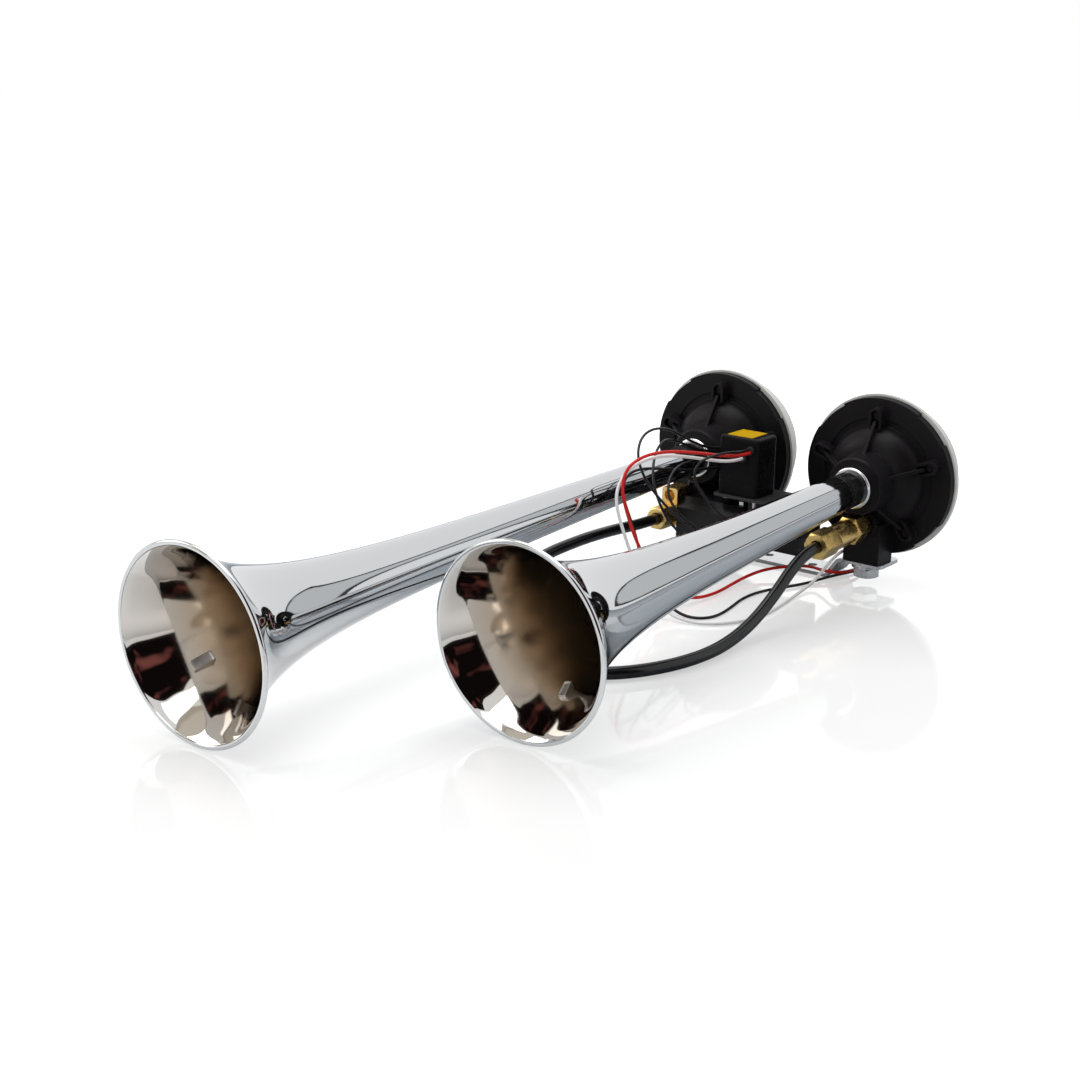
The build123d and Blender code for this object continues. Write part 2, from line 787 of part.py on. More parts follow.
with BuildPart() as horn_nipple:
    rod(long_inlet, inlet_seat, hump_start, nipple_hex / 2)
    rod(long_inlet, inlet_seat - spigot_length, inlet_seat, spigot_radius)
    rod(long_inlet, hump_start, hump_start + spigot_length, spigot_radius)
    rod(long_inlet, inlet_seat - spigot_length, hump_start + spigot_length, brass_bore, Mode.SUBTRACT)
write(horn_nipple, "horn_nipple")

with BuildPart() as passage_plugs:
    with BuildSketch(Plane.XY.offset(valve_top)):
        with plug_spots:
            RegularPolygon(plug_radius, 6)
    extrude(amount=plug_height)
    with BuildSketch(Plane.XY.offset(valve_top)):
        with plug_spots:
            Circle(plug_shank_radius)
    extrude(amount=-plug_shank)
write(passage_plugs, "passage_plugs")

with BuildPart() as core_tube:
    tube(stem, tube_start, core_tip, chamber_bore, plunger_radius + running_clearance)
    tube(stem, valve_length, coil_start, core_flange_radius, chamber_bore)
write(core_tube, "core_tube")

with BuildPart() as fixed_core:
    rod(stem, core_face, core_tip, plunger_radius)
write(fixed_core, "fixed_core")

with BuildPart() as plunger:
    rod(stem, plunger_start, plunger_end, plunger_radius)
    rod(stem, plunger_start, seat_face + seal_thickness, seal_radius, Mode.SUBTRACT)
    rod(stem, plunger_end - spring_pocket, plunger_end, spring_pocket_radius, Mode.SUBTRACT)
write(plunger, "plunger")

with BuildPart() as plunger_seal:
    rod(stem, seat_face, seat_face + seal_thickness, seal_radius)
write(plunger_seal, "plunger_seal")

coil_pitch = (spring_length - 2 * spring_wire_radius) / spring_turns
with BuildPart() as plunger_spring:
    with BuildLine() as helix:
        Helix(
            coil_pitch,
            spring_length - 2 * spring_wire_radius,
            spring_radius,
            center=stem.offset(plunger_end - spring_pocket + spring_wire_radius).origin,
            direction=stem.z_dir,
        )
    with BuildSketch(Plane(helix.line @ 0, z_dir=helix.line % 0)):
        Circle(spring_wire_radius)
    sweep()
write(plunger_spring, "plunger_spring")

# ---- coil, mounting plate and controller ----

coil_left = valve_left + coil_start
coil_right = coil_left + coil_length
coil_top = coil_bottom + coil_height
plate_top = coil_top + plate_thickness
# countersunk screws hold the plate to the coil, under the controller
case_right = case_left + case_width
case_back = case_front - case_depth
coil_screws_x = (coil_left + case_right) / 2
base_screws_x = case_left + base_screw_inset
screws_y = flange_y - (case_front + case_back) / 2
near_y, far_y = screws_y - screw_spread, screws_y + screw_spread
coil_screw_spots = Locations((coil_screws_x, near_y), (coil_screws_x, far_y))
base_screw_spots = Locations((base_screws_x, near_y), (base_screws_x, far_y))
with BuildPart() as solenoid_coil:
    block(coil_left, coil_right, coil_front, coil_front - coil_depth, coil_bottom, coil_top)
    fillet(solenoid_coil.edges().filter_by(Axis.X), radius=coil_edge)
    rod(stem, coil_start, core_tip + hole_clearance, chamber_bore + hole_clearance, Mode.SUBTRACT)
    with BuildSketch(Plane.XY.offset(coil_top)):
        with coil_screw_spots:
            Circle(small_screw_radius)
    extrude(amount=-small_screw_length, mode=Mode.SUBTRACT)
write(solenoid_coil, "solenoid_coil")

plug_top = coil_top - plug_drop
plug_middle = (coil_left + coil_right) / 2
with BuildPart() as coil_plug:
    block(
        plug_middle - plug_width / 2,
        plug_middle + plug_width / 2,
        coil_front + plug_depth,
        coil_front,
        plug_top - plug_width,
        plug_top,
    )
    fillet(coil_plug.edges().filter_by(Axis.Y), radius=plug_edge)
write(coil_plug, "coil_plug")

plate_front = plate_back + plate_depth
with BuildPart() as mounting_plate:
    block(plate_left, coil_right, plate_front, plate_back, coil_top, plate_top)
    fillet(mounting_plate.edges().filter_by(Axis.Z), radius=plate_corner)
    with Locations(Plane.XY.offset(plate_top)):
        with coil_screw_spots:
            CounterSinkHole(small_screw_radius + hole_clearance, small_head_radius + hole_clearance)
        with base_screw_spots:
            Hole(small_screw_radius + hole_clearance)
write(mounting_plate, "mounting_plate")

with BuildPart() as plate_screws:
    with BuildSketch(Plane.XY.offset(plate_top)):
        with coil_screw_spots:
            Circle(small_head_radius)
    extrude(amount=small_screw_radius - small_head_radius, taper=45)
    with BuildSketch(Plane.XY.offset(plate_top)):
        with coil_screw_spots:
            Circle(small_screw_radius)
    extrude(amount=-small_screw_length)
write(plate_screws, "plate_screws")

with BuildPart() as base_screws:
    with BuildSketch(Plane.XY.offset(coil_top)):
        with base_screw_spots:
            Circle(small_head_radius)
    extrude(amount=-small_head_height)
    with BuildSketch(Plane.XY.offset(coil_top)):
        with base_screw_spots:
            Circle(small_screw_radius)
    extrude(amount=base_screw_length)
write(base_screws, "base_screws")

base_top = plate_top + base_height
case_top = base_top + case_height
inner_left = case_left + case_wall
inner_right = case_right - case_wall
inner_front = case_front - case_wall
inner_back = case_back + case_wall
front_wall = flange_y - case_front
grommet_places = []
for x, z in front_grommets:
    grommet_places.append(Plane((x, front_wall, z), x_dir=(1, 0, 0), z_dir=(0, -1, 0)))
for front, z in side_grommets:
    grommet_places.append(Plane((case_left, flange_y - front, z), x_dir=(0, -1, 0), z_dir=(-1, 0, 0)))
with BuildPart() as controller_case:
    block(case_left, case_right, case_front, case_back, base_top, case_top)
    fillet(controller_case.edges().filter_by(Axis.Z), radius=case_edge)
    fillet(controller_case.faces().sort_by(Axis.Z)[-1].edges(), radius=case_edge)
    with BuildSketch(Plane.XY.offset(base_top)) as inside:
        with Locations((case_left + case_width / 2, flange_y - (case_front + case_back) / 2)):
            Rectangle(case_width - 2 * case_wall, case_depth - 2 * case_wall)
    extrude(amount=case_height - case_wall, mode=Mode.SUBTRACT)
    for place in grommet_places:
        rod(place, -case_wall, 0, grommet_neck, Mode.SUBTRACT)
write(controller_case, "controller_case")

with BuildPart() as controller_base:
    block(case_left, case_right, case_front, case_back, plate_top, base_top)
    fillet(controller_base.edges().filter_by(Axis.Z), radius=case_edge)
    block(
        inner_left + lip_clearance,
        inner_right - lip_clearance,
        inner_front - lip_clearance,
        inner_back + lip_clearance,
        base_top,
        base_top + base_lip,
    )
    with BuildSketch(Plane.XY.offset(plate_top)):
        with base_screw_spots:
            Circle(small_screw_radius)
    extrude(amount=base_screw_length - plate_thickness, mode=Mode.SUBTRACT)
write(controller_base, "controller_base")

with BuildPart() as circuit_board:
    block(
        inner_left + board_clearance,
        inner_right - board_clearance,
        inner_front - board_clearance,
        inner_back + board_clearance,
        base_top + base_lip,
        base_top + base_lip + board_thickness,
    )
write(circuit_board, "circuit_board")

with BuildPart() as controller_label:
    block(
        case_left + label_inset,
        case_left + label_inset + label_size,
        case_back + label_inset_back + label_size,
        case_back + label_inset_back,
        case_top,
        case_top + label_thickness,
    )
write(controller_label, "controller_label")

with BuildPart() as wire_grommets:
    for place in grommet_places:
        rod(place, 0, grommet_length, grommet_radius)
        rod(place, -case_wall, 0, grommet_neck)
write(wire_grommets, "wire_grommets")

# ---- hose and wires: x, distance in front of the flange face, height ----


def cord(name, diameter, points):
    """Plain cord: straight runs joined by arcs as large as the runs allow."""
    route = [Vector(x, flange_y - front, z) for x, front, z in points]
    runs = [b - a for a, b in zip(route, route[1:])]
    radii = []
    for before, after in zip(runs, runs[1:]):
        bend = radians(before.get_angle(after))
        radii.append(0.45 * min(before.length, after.length) / tan(bend / 2))
    with BuildPart() as line:
        with BuildLine() as path:
            FilletPolyline(*route, radius=radii)
        with BuildSketch(Plane(path.line @ 0, z_dir=path.line % 0)):
            Circle(diameter / 2)
        sweep()
    length = sum(edge.length for edge in path.edges())
    share = line.part.volume / (pi * diameter**2 / 4 * length)
    print(f"{name}: length {length:.1f}, least radius {min(radii):.1f}, volume share {share:.3f}")
    print("   radii", " ".join(f"{r:.0f}" for r in radii))
    write(line, name)


hose_end = short_horn.across(inlet_hose_face, inlet_drop).origin
hose_lead = short_horn.across(inlet_hose_face + hose_lead_length, inlet_drop).origin
cord(
    "air_hose",
    hose_diameter,
    [
        (block_mid, valve_front + outlet_hose_face, outlet_height),
        (block_mid, 86.0, outlet_height),
        (-74.5, 116.0, 35.5),
        (-74.0, 158.0, 37.0),
        (-73.0, 206.0, 35.0),
        (-64.0, 248.0, 28.0),
        (-44.0, 279.0, 19.0),
        (-14.0, 299.0, 10.0),
        (18.0, 300.0, 5.0),
        (44.0, 283.0, 4.2),
        (61.0, 254.0, 4.2),
        (68.5, 220.0, 4.2),
        (67.0, 186.0, 4.6),
        (65.0, 156.0, 10.0),
        (64.2, 131.0, 21.0),
        (63.9, 110.0, 34.0),
        (hose_lead.X, flange_y - hose_lead.Y, hose_lead.Z),
        (hose_end.X, flange_y - hose_end.Y, hose_end.Z),
    ],
)

# supply wires leave the controller, loop down to the floor and end bare behind the short horn's foot
grommet_face = case_front + grommet_length
grommet_side = case_left - grommet_length / 2
front_x, front_z = front_grommets[0]
cord(
    "red_wire",
    supply_wire,
    [
        (front_x + 0.4, grommet_face, front_z - 1.1),
        (front_x + 0.4, 61.0, front_z - 1.1),
        (-12.5, 76.0, 90.5),
        (-19.0, 96.0, 95.0),
        (-26.0, 122.0, 100.0),
        (-31.0, 144.0, 100.5),
        (-34.5, 159.5, 95.0),
        (-34.5, 166.0, 82.5),
        (-30.5, 165.5, 67.0),
        (-23.5, 163.0, 47.0),
        (-15.5, 158.0, 29.5),
        (-9.0, 149.0, 16.0),
        (-4.0, 138.0, 7.5),
        (0.0, 123.0, 2.8),
        (1.5, 102.0, 1.8),
        (-0.5, 80.0, 2.2),
        (-1.0, 60.0, 3.4),
        (3.0, 42.0, 5.2),
        (14.0, 28.0, 6.6),
        (26.0, 20.0, 7.4),
        (36.5, 18.0, 5.4),
        (45.0, 13.0, 4.4),
        (48.5, 3.0, 4.0),
        (49.0, -8.0, 3.4),
    ],
)
cord(
    "white_wire",
    supply_wire,
    [
        (front_grommets[1][0], grommet_face, front_grommets[1][1]),
        (front_grommets[1][0], 61.0, front_grommets[1][1]),
        (-17.5, 78.0, 86.5),
        (-23.5, 101.0, 92.5),
        (-30.0, 127.0, 97.5),
        (-34.5, 149.0, 95.5),
        (-37.5, 163.5, 86.5),
        (-36.0, 170.5, 73.0),
        (-29.5, 169.5, 54.0),
        (-23.0, 167.0, 36.0),
        (-15.0, 165.5, 20.5),
        (-4.0, 165.5, 9.5),
        (9.0, 166.0, 3.2),
        (24.0, 164.0, 1.3),
        (37.5, 155.5, 1.3),
        (46.5, 141.0, 1.3),
        (50.5, 123.0, 1.3),
        (49.5, 102.0, 1.3),
        (46.0, 80.0, 1.3),
        (42.5, 58.0, 1.4),
        (41.0, 40.0, 3.2),
        (42.5, 29.0, 10.0),
        (45.5, 20.0, 18.0),
        (47.5, 9.0, 21.5),
        (48.0, -3.0, 20.0),
    ],
)
side_d, side_z = side_grommets[1]
cord(
    "black_wire",
    thin_supply_wire,
    [
        (grommet_side, side_d + 0.5, side_z - 1.3),
        (-41.5, 45.5, side_z - 1.0),
        (-43.0, 59.0, 73.0),
        (-41.5, 78.0, 76.0),
        (-40.0, 106.0, 82.5),
        (-40.0, 136.0, 88.5),
        (-38.5, 154.0, 88.0),
        (-36.0, 164.0, 80.5),
        (-32.5, 162.5, 68.0),
        (-28.5, 158.5, 53.0),
        (-26.5, 154.5, 38.0),
        (-23.5, 152.0, 24.0),
        (-16.0, 150.5, 12.0),
        (-5.0, 151.0, 4.4),
        (8.0, 154.5, 1.2),
        (19.0, 155.0, 1.1),
        (26.0, 148.0, 1.1),
        (27.5, 137.0, 1.1),
        (25.0, 120.0, 1.1),
        (20.0, 98.0, 1.1),
        (21.0, 76.0, 1.1),
        (30.0, 55.0, 1.1),
        (36.5, 36.0, 1.1),
        (39.0, 18.0, 1.1),
        (43.5, 2.0, 1.1),
        (48.0, -12.0, 1.1),
    ],
)

# thin wires from the controller to the plug in front of the coil
plug_face = coil_front + plug_depth
plug_high = plug_top - plug_width / 2 + plug_wire_spread
plug_low = plug_high - 2 * plug_wire_spread
plug_near = plug_middle + plug_wire_spread
plug_far = plug_middle - plug_wire_spread
side_d, side_z = side_grommets[0]
cord(
    "solenoid_wire_1",
    solenoid_wire,
    [
        (grommet_side, side_d, side_z + 1.2),
        (-41.5, 40.0, side_z + 1.4),
        (-44.0, 51.0, 87.5),
        (-44.5, 66.0, 93.0),
        (-46.0, 83.0, 102.0),
        (-46.5, 100.0, 109.0),
        (-46.0, 118.0, 111.0),
        (-44.0, 132.0, 107.5),
        (-40.0, 141.0, 99.0),
        (-34.5, 144.0, 89.0),
        (-27.5, 142.5, 78.5),
        (-19.5, 137.5, 67.5),
        (-11.5, 129.5, 56.5),
        (-5.0, 117.0, 47.5),
        (0.0, 101.0, 43.0),
        (3.5, 84.0, 41.3),
        (plug_far, 67.0, plug_high),
        (plug_far, plug_face, plug_high),
    ],
)
cord(
    "solenoid_wire_2",
    solenoid_wire,
    [
        (grommet_side, side_d, side_z - 1.2),
        (-41.5, 40.5, side_z - 1.0),
        (-44.5, 53.0, 85.0),
        (-46.5, 70.0, 91.0),
        (-47.0, 87.0, 98.5),
        (-45.0, 104.0, 101.5),
        (-40.5, 120.0, 95.5),
        (-34.0, 131.5, 84.0),
        (-26.5, 136.5, 71.0),
        (-18.0, 135.5, 57.0),
        (-10.0, 128.0, 45.0),
        (-2.0, 114.0, 37.0),
        (5.0, 97.0, 33.5),
        (10.0, 79.0, 33.5),
        (plug_near, 65.0, plug_low),
        (plug_near, plug_face, plug_low),
    ],
)
cord(
    "solenoid_wire_3",
    solenoid_wire,
    [
        (front_x - 0.6, grommet_face, front_z + 1.0),
        (front_x - 0.6, 61.0, front_z + 1.0),
        (-10.0, 74.5, 93.3),
        (-13.2, 88.8, 93.2),
        (-17.4, 101.3, 90.2),
        (-18.0, 106.5, 81.2),
        (-13.8, 103.5, 71.3),
        (-8.0, 97.0, 60.2),
        (-2.0, 88.0, 49.5),
        (6.0, 78.0, 42.5),
        (plug_near, 66.0, plug_high),
        (plug_near, plug_face, plug_high),
    ],
)
side_d, side_z = side_grommets[1]
cord(
    "solenoid_wire_4",
    solenoid_wire,
    [
        (grommet_side, side_d, side_z + 1.3),
        (-41.0, 42.0, 76.5),
        (-43.0, 54.0, 79.0),
        (-41.5, 73.5, 82.0),
        (-38.7, 94.5, 82.7),
        (-33.3, 112.5, 78.2),
        (-28.5, 120.5, 68.5),
        (-20.0, 121.0, 58.5),
        (-10.0, 115.0, 49.0),
        (-2.0, 102.0, 41.0),
        (3.0, 86.0, 36.5),
        (plug_far, 69.0, plug_low),
        (plug_far, plug_face, plug_low),
    ],
)
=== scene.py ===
"""Twin trumpet air horn for a car, dressed for rendering. Metres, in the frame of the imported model:
+Y from the bell mouths to the diaphragm housings, +X to the right, +Z up, the floor at z = 0."""
import json
from math import asin, atan2, cos, hypot, pi, radians, sin

import bpy
import numpy as np
from mathutils import Matrix, Vector

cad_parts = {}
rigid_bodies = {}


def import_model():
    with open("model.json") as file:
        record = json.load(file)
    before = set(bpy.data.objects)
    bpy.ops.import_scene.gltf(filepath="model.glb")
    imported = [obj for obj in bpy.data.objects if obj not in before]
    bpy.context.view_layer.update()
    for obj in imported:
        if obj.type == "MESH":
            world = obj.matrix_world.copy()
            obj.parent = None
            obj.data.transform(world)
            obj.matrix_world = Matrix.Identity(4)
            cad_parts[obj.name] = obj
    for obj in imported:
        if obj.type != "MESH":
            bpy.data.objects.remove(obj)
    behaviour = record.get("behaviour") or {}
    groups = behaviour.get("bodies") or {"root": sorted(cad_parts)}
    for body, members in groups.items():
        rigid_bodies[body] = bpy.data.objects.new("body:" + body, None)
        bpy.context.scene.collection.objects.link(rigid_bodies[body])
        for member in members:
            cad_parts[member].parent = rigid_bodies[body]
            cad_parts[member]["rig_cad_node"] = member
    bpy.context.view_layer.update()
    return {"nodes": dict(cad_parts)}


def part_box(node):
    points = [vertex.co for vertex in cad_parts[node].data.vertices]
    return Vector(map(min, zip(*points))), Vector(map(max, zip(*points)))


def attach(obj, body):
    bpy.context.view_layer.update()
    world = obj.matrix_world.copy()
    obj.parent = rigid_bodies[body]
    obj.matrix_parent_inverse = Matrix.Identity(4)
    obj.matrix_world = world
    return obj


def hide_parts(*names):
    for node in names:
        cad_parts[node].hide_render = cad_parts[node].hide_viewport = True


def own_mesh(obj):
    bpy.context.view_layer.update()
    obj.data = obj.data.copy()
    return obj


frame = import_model()

# ---- camera ----
# A long lens from the front right, a little above the horns, tilted by under a degree.
eye = Vector((0.634535, -0.868353, 0.378674))
heading, pitch, roll = radians(37.931), radians(16.088), radians(0.976)
ahead = Vector((-sin(heading) * cos(pitch), cos(heading) * cos(pitch), -sin(pitch)))
level = Vector((cos(heading), sin(heading), 0))
below = ahead.cross(level)
camera_right = cos(roll) * level - sin(roll) * below
camera_up = -(sin(roll) * level + cos(roll) * below)
lens = bpy.data.cameras.new("camera")
lens.sensor_width = 36
lens.lens = 60.995
lens.clip_start, lens.clip_end = 0.05, 50
camera = bpy.data.objects.new("camera", lens)
turned_frame = Matrix((camera_right, camera_up, -ahead)).transposed().to_4x4()
camera.matrix_world = Matrix.Translation(eye) @ turned_frame
bpy.context.collection.objects.link(camera)
bpy.context.scene.camera = camera
bpy.context.scene.view_settings.view_transform = "Standard"

# ---- air hose ----
# Extruded black nylon hose from the valve's outlet, forward along the long horn, round in front of
# the bracket on the floor, and back under the short horn into its inlet nut.
ROOT = "horn_set"
flange_y = 0.241311    # the housings' flange faces


class Value:
    """A socket of a finish. Arithmetic on it adds Math nodes and gives the socket of the result."""

    def __init__(self, finish, socket):
        self.finish, self.socket = finish, socket

    def math(self, operation, *others):
        inputs = dict(enumerate((self, *others)))
        return self.finish.node("ShaderNodeMath", {"operation": operation}, inputs)

    def __add__(self, other):
        return self.math("ADD", other)

    def __mul__(self, other):
        return self.math("MULTIPLY", other)

    def __sub__(self, other):
        return self.math("SUBTRACT", other)

    def __rsub__(self, other):
        return self.math("MULTIPLY", -1) + other

    def __pow__(self, power):
        return self.math("POWER", power)

    def fit(self, low, high, start=0.0, end=1.0):
        """Linear from low..high to start..end, held at the ends."""
        span = {1: low, 2: high, 3: start, 4: end}
        return self.finish.node("ShaderNodeMapRange", {"clamp": True}, {0: self, **span})

    __radd__ = __add__
    __rmul__ = __mul__


class Finish:
    """One material of the horn set: a Principled surface with its pattern nodes."""

    def __init__(self, name, **surface):
        self.material = bpy.data.materials.new(name)
        self.material.use_nodes = True
        self.tree = self.material.node_tree
        self.shader = self.tree.nodes["Principled BSDF"]
        self.place = self.node("ShaderNodeTexCoord", output="Object")
        self.set(**surface)

    def node(self, kind, settings=None, inputs=None, output=0):
        """Adds a node. Its settings go in first, then values or links by socket name or number."""
        made = self.tree.nodes.new(kind)
        for name, value in (settings or {}).items():
            setattr(made, name, value)
        for name, value in (inputs or {}).items():
            self.join(made.inputs[name], value)
        return Value(self, made.outputs[output])

    def join(self, socket, value):
        if isinstance(value, Value):
            self.tree.links.new(value.socket, socket)
        else:
            socket.default_value = value

    def set(self, **surface):
        """Sets the shader's sockets: base_color=... is Base Color, and so on."""
        for name, value in surface.items():
            words = name.replace("_", " ").title().replace("Ior", "IOR")
            self.join(self.shader.inputs[words], value)

    def noise(self, scale, detail=2.0, rough=0.5, at=None):
        """Soft noise, 0 to 1, with scale in cells per metre."""
        values = {"Vector": at or self.place, "Scale": scale, "Detail": detail, "Roughness": rough}
        return self.node("ShaderNodeTexNoise", None, values)

    def colour(self, factor, first, second):
        """Mix of two colours."""
        ends = {0: factor, 6: first, 7: second}
        return self.node("ShaderNodeMix", {"data_type": "RGBA"}, ends, output=2)

    def axis(self, name, at=None):
        """One coordinate, X, Y or Z, of the place on the piece."""
        return self.node("ShaderNodeSeparateXYZ", None, {0: at or self.place}, output=name)

    def vector(self, operation, *places):
        """One number worked out from vectors, such as a LENGTH or a DISTANCE."""
        kind = "ShaderNodeVectorMath"
        return self.node(kind, {"operation": operation}, dict(enumerate(places)), output="Value")

    def rounded(self, radius):
        """Normal with the piece's edges softened to that radius."""
        return self.node("ShaderNodeBevel", {"samples": 6}, {"Radius": radius})

    def edges(self, radius):
        """1 on the piece's edges, 0 on its faces."""
        soft = self.rounded(radius)
        flat = self.node("ShaderNodeNewGeometry", output="Normal")
        return (1 - self.vector("DOT_PRODUCT", soft, flat)).fit(0.02, 0.3)

    def relief(self, height, depth, edge=None):
        """Bump of that depth in metres, over edges rounded to the radius edge."""
        inputs = {"Height": height, "Distance": depth, "Strength": 1.0}
        if edge:
            inputs["Normal"] = self.rounded(edge)
        self.set(normal=self.node("ShaderNodeBump", None, inputs))

    def wear(self, slot, *pieces):
        """Puts the finish on CAD nodes or new pieces. Its slot is not used."""
        for piece in pieces:
            if isinstance(piece, str):
                piece = frame["nodes"][piece]
                piece.data.materials.clear()
            piece.data.materials.append(self.material)


def cord(name, diameter, finish, slot, points):
    """Cord of one smooth spline, steered by points: x, distance in front of the flange faces, and
    height, in mm."""
    line = bpy.data.curves.new(name + "_line", "CURVE")
    line.dimensions = "3D"
    line.bevel_depth = diameter / 2
    line.bevel_resolution = 5
    line.resolution_u = 10
    line.use_fill_caps = True
    spline = line.splines.new("NURBS")
    spline.points.add(len(points) - 1)
    route = [(x / 1000, flange_y - front / 1000, z / 1000) for x, front, z in points]
    for point, place in zip(spline.points, route):
        point.co = (*place, 1)
    spline.order_u = 3
    spline.use_endpoint_u = True
    piece = bpy.data.objects.new(name + "_piece", line)
    bpy.context.collection.objects.link(piece)
    finish.wear(slot, piece)
    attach(piece, ROOT)
    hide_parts(name)


hose_black = Finish("hose_black", specular_ior_level=0.35, coat_weight=0.1, coat_roughness=0.06)
streaks = hose_black.noise(260, 3)
hose_black.set(
    base_color=hose_black.colour(streaks, (0.004, 0.004, 0.005, 1), (0.009, 0.009, 0.010, 1)),
    roughness=streaks.fit(0.3, 0.7, 0.12, 0.22),
)
cord(
    "air_hose",
    diameter=0.008,
    finish=hose_black,
    slot="hose_black",
    points=[
        (-74.0, 60.0, 33.0),
        (-74.0, 86.0, 33.0),
        (-74.5, 116.0, 35.5),
        (-74.0, 158.0, 37.0),
        (-73.0, 206.0, 35.0),
        (-64.0, 248.0, 28.0),
        (-44.0, 279.0, 19.0),
        (-14.0, 299.0, 10.0),
        (18.0, 300.0, 5.0),
        (44.0, 283.0, 4.2),
        (61.0, 254.0, 4.2),
        (68.5, 220.0, 4.2),
        (67.0, 186.0, 4.6),
        (65.0, 156.0, 10.0),
        (64.2, 131.0, 21.0),
        (63.9, 110.0, 34.0),
        (63.8, 90.6, 41.1),
        (63.8, 73.6, 41.9),
    ],
)

# ---- supply wires ----
# Red, white and black PVC insulated leads. They leave the controller's grommets, hang down in a loop
# between the horns, and run back along the floor to bare tinned ends behind the short horn's foot.


def insulation(name, dark, light, roughness):
    """Glossy PVC: slightly uneven colour, and the faint waviness of an extruded skin."""
    finish = Finish(name, specular_ior_level=0.3)
    patches = finish.noise(180, 3)
    finish.set(
        base_color=finish.colour(patches, dark, light),
        roughness=patches.fit(0.3, 0.7, roughness, roughness + 0.12),
    )
    finish.relief(finish.noise(900, 2), 0.00003)
    return finish


red_insulation = insulation(
    "red_insulation", dark=(0.60, 0.008, 0.006, 1), light=(0.74, 0.02, 0.014, 1), roughness=0.26
)
white_insulation = insulation(
    "white_insulation", dark=(0.88, 0.87, 0.87, 1), light=(0.95, 0.94, 0.94, 1), roughness=0.3
)
black_insulation = insulation(
    "black_insulation", dark=(0.005, 0.004, 0.005, 1), light=(0.014, 0.012, 0.014, 1), roughness=0.24
)
cord(
    "red_wire",
    diameter=0.0022,
    finish=red_insulation,
    slot="red_insulation",
    points=[
        (-8.6, 51.0, 88.9),
        (-8.6, 61.0, 88.9),
        (-12.5, 76.0, 90.5),
        (-19.0, 96.0, 95.0),
        (-26.0, 122.0, 100.0),
        (-31.0, 144.0, 100.5),
        (-34.5, 159.5, 95.0),
        (-34.5, 166.0, 82.5),
        (-30.5, 165.5, 67.0),
        (-23.5, 163.0, 47.0),
        (-15.5, 158.0, 29.5),
        (-9.0, 149.0, 16.0),
        (-4.0, 138.0, 7.5),
        (0.0, 123.0, 2.8),
        (1.5, 102.0, 1.8),
        (-0.5, 80.0, 2.2),
        (-1.0, 60.0, 3.4),
        (3.0, 42.0, 5.2),
        (14.0, 28.0, 6.6),
        (26.0, 20.0, 7.4),
        (36.5, 18.0, 5.4),
        (45.0, 13.0, 4.4),
        (48.5, 3.0, 4.0),
        (49.0, -8.0, 3.4),
    ],
)
cord(
    "white_wire",
    diameter=0.0022,
    finish=white_insulation,
    slot="white_insulation",
    points=[
        (-14.4, 51.0, 83.9),
        (-14.4, 61.0, 83.9),
        (-17.5, 78.0, 86.5),
        (-23.5, 101.0, 92.5),
        (-30.0, 127.0, 97.5),
        (-34.5, 149.0, 95.5),
        (-37.5, 163.5, 86.5),
        (-36.0, 170.5, 73.0),
        (-29.5, 169.5, 54.0),
        (-23.0, 167.0, 36.0),
        (-15.0, 165.5, 20.5),
        (-4.0, 165.5, 9.5),
        (9.0, 166.0, 3.2),
        (24.0, 164.0, 1.3),
        (37.5, 155.5, 1.3),
        (46.5, 141.0, 1.3),
        (50.5, 123.0, 1.3),
        (49.5, 102.0, 1.3),
        (46.0, 80.0, 1.3),
        (42.5, 58.0, 1.4),
        (41.0, 40.0, 3.2),
        (42.5, 29.0, 10.0),
        (45.5, 20.0, 18.0),
        (47.5, 9.0, 21.5),
        (48.0, -3.0, 20.0),
    ],
)
cord(
    "black_wire",
    diameter=0.002,
    finish=black_insulation,
    slot="black_insulation",
    points=[
        (-36.2, 37.5, 71.7),
        (-41.5, 45.5, 72.0),
        (-43.0, 59.0, 73.0),
        (-41.5, 78.0, 76.0),
        (-40.0, 106.0, 82.5),
        (-40.0, 136.0, 88.5),
        (-38.5, 154.0, 88.0),
        (-36.0, 164.0, 80.5),
        (-32.5, 162.5, 68.0),
        (-28.5, 158.5, 53.0),
        (-26.5, 154.5, 38.0),
        (-23.5, 152.0, 24.0),
        (-16.0, 150.5, 12.0),
        (-5.0, 151.0, 4.4),
        (8.0, 154.5, 1.2),
        (19.0, 155.0, 1.1),
        (26.0, 148.0, 1.1),
        (27.5, 137.0, 1.1),
        (25.0, 120.0, 1.1),
        (20.0, 98.0, 1.1),
        (21.0, 76.0, 1.1),
        (30.0, 55.0, 1.1),
        (36.5, 36.0, 1.1),
        (39.0, 18.0, 1.1),
        (43.5, 2.0, 1.1),
        (48.0, -12.0, 1.1),
    ],
)

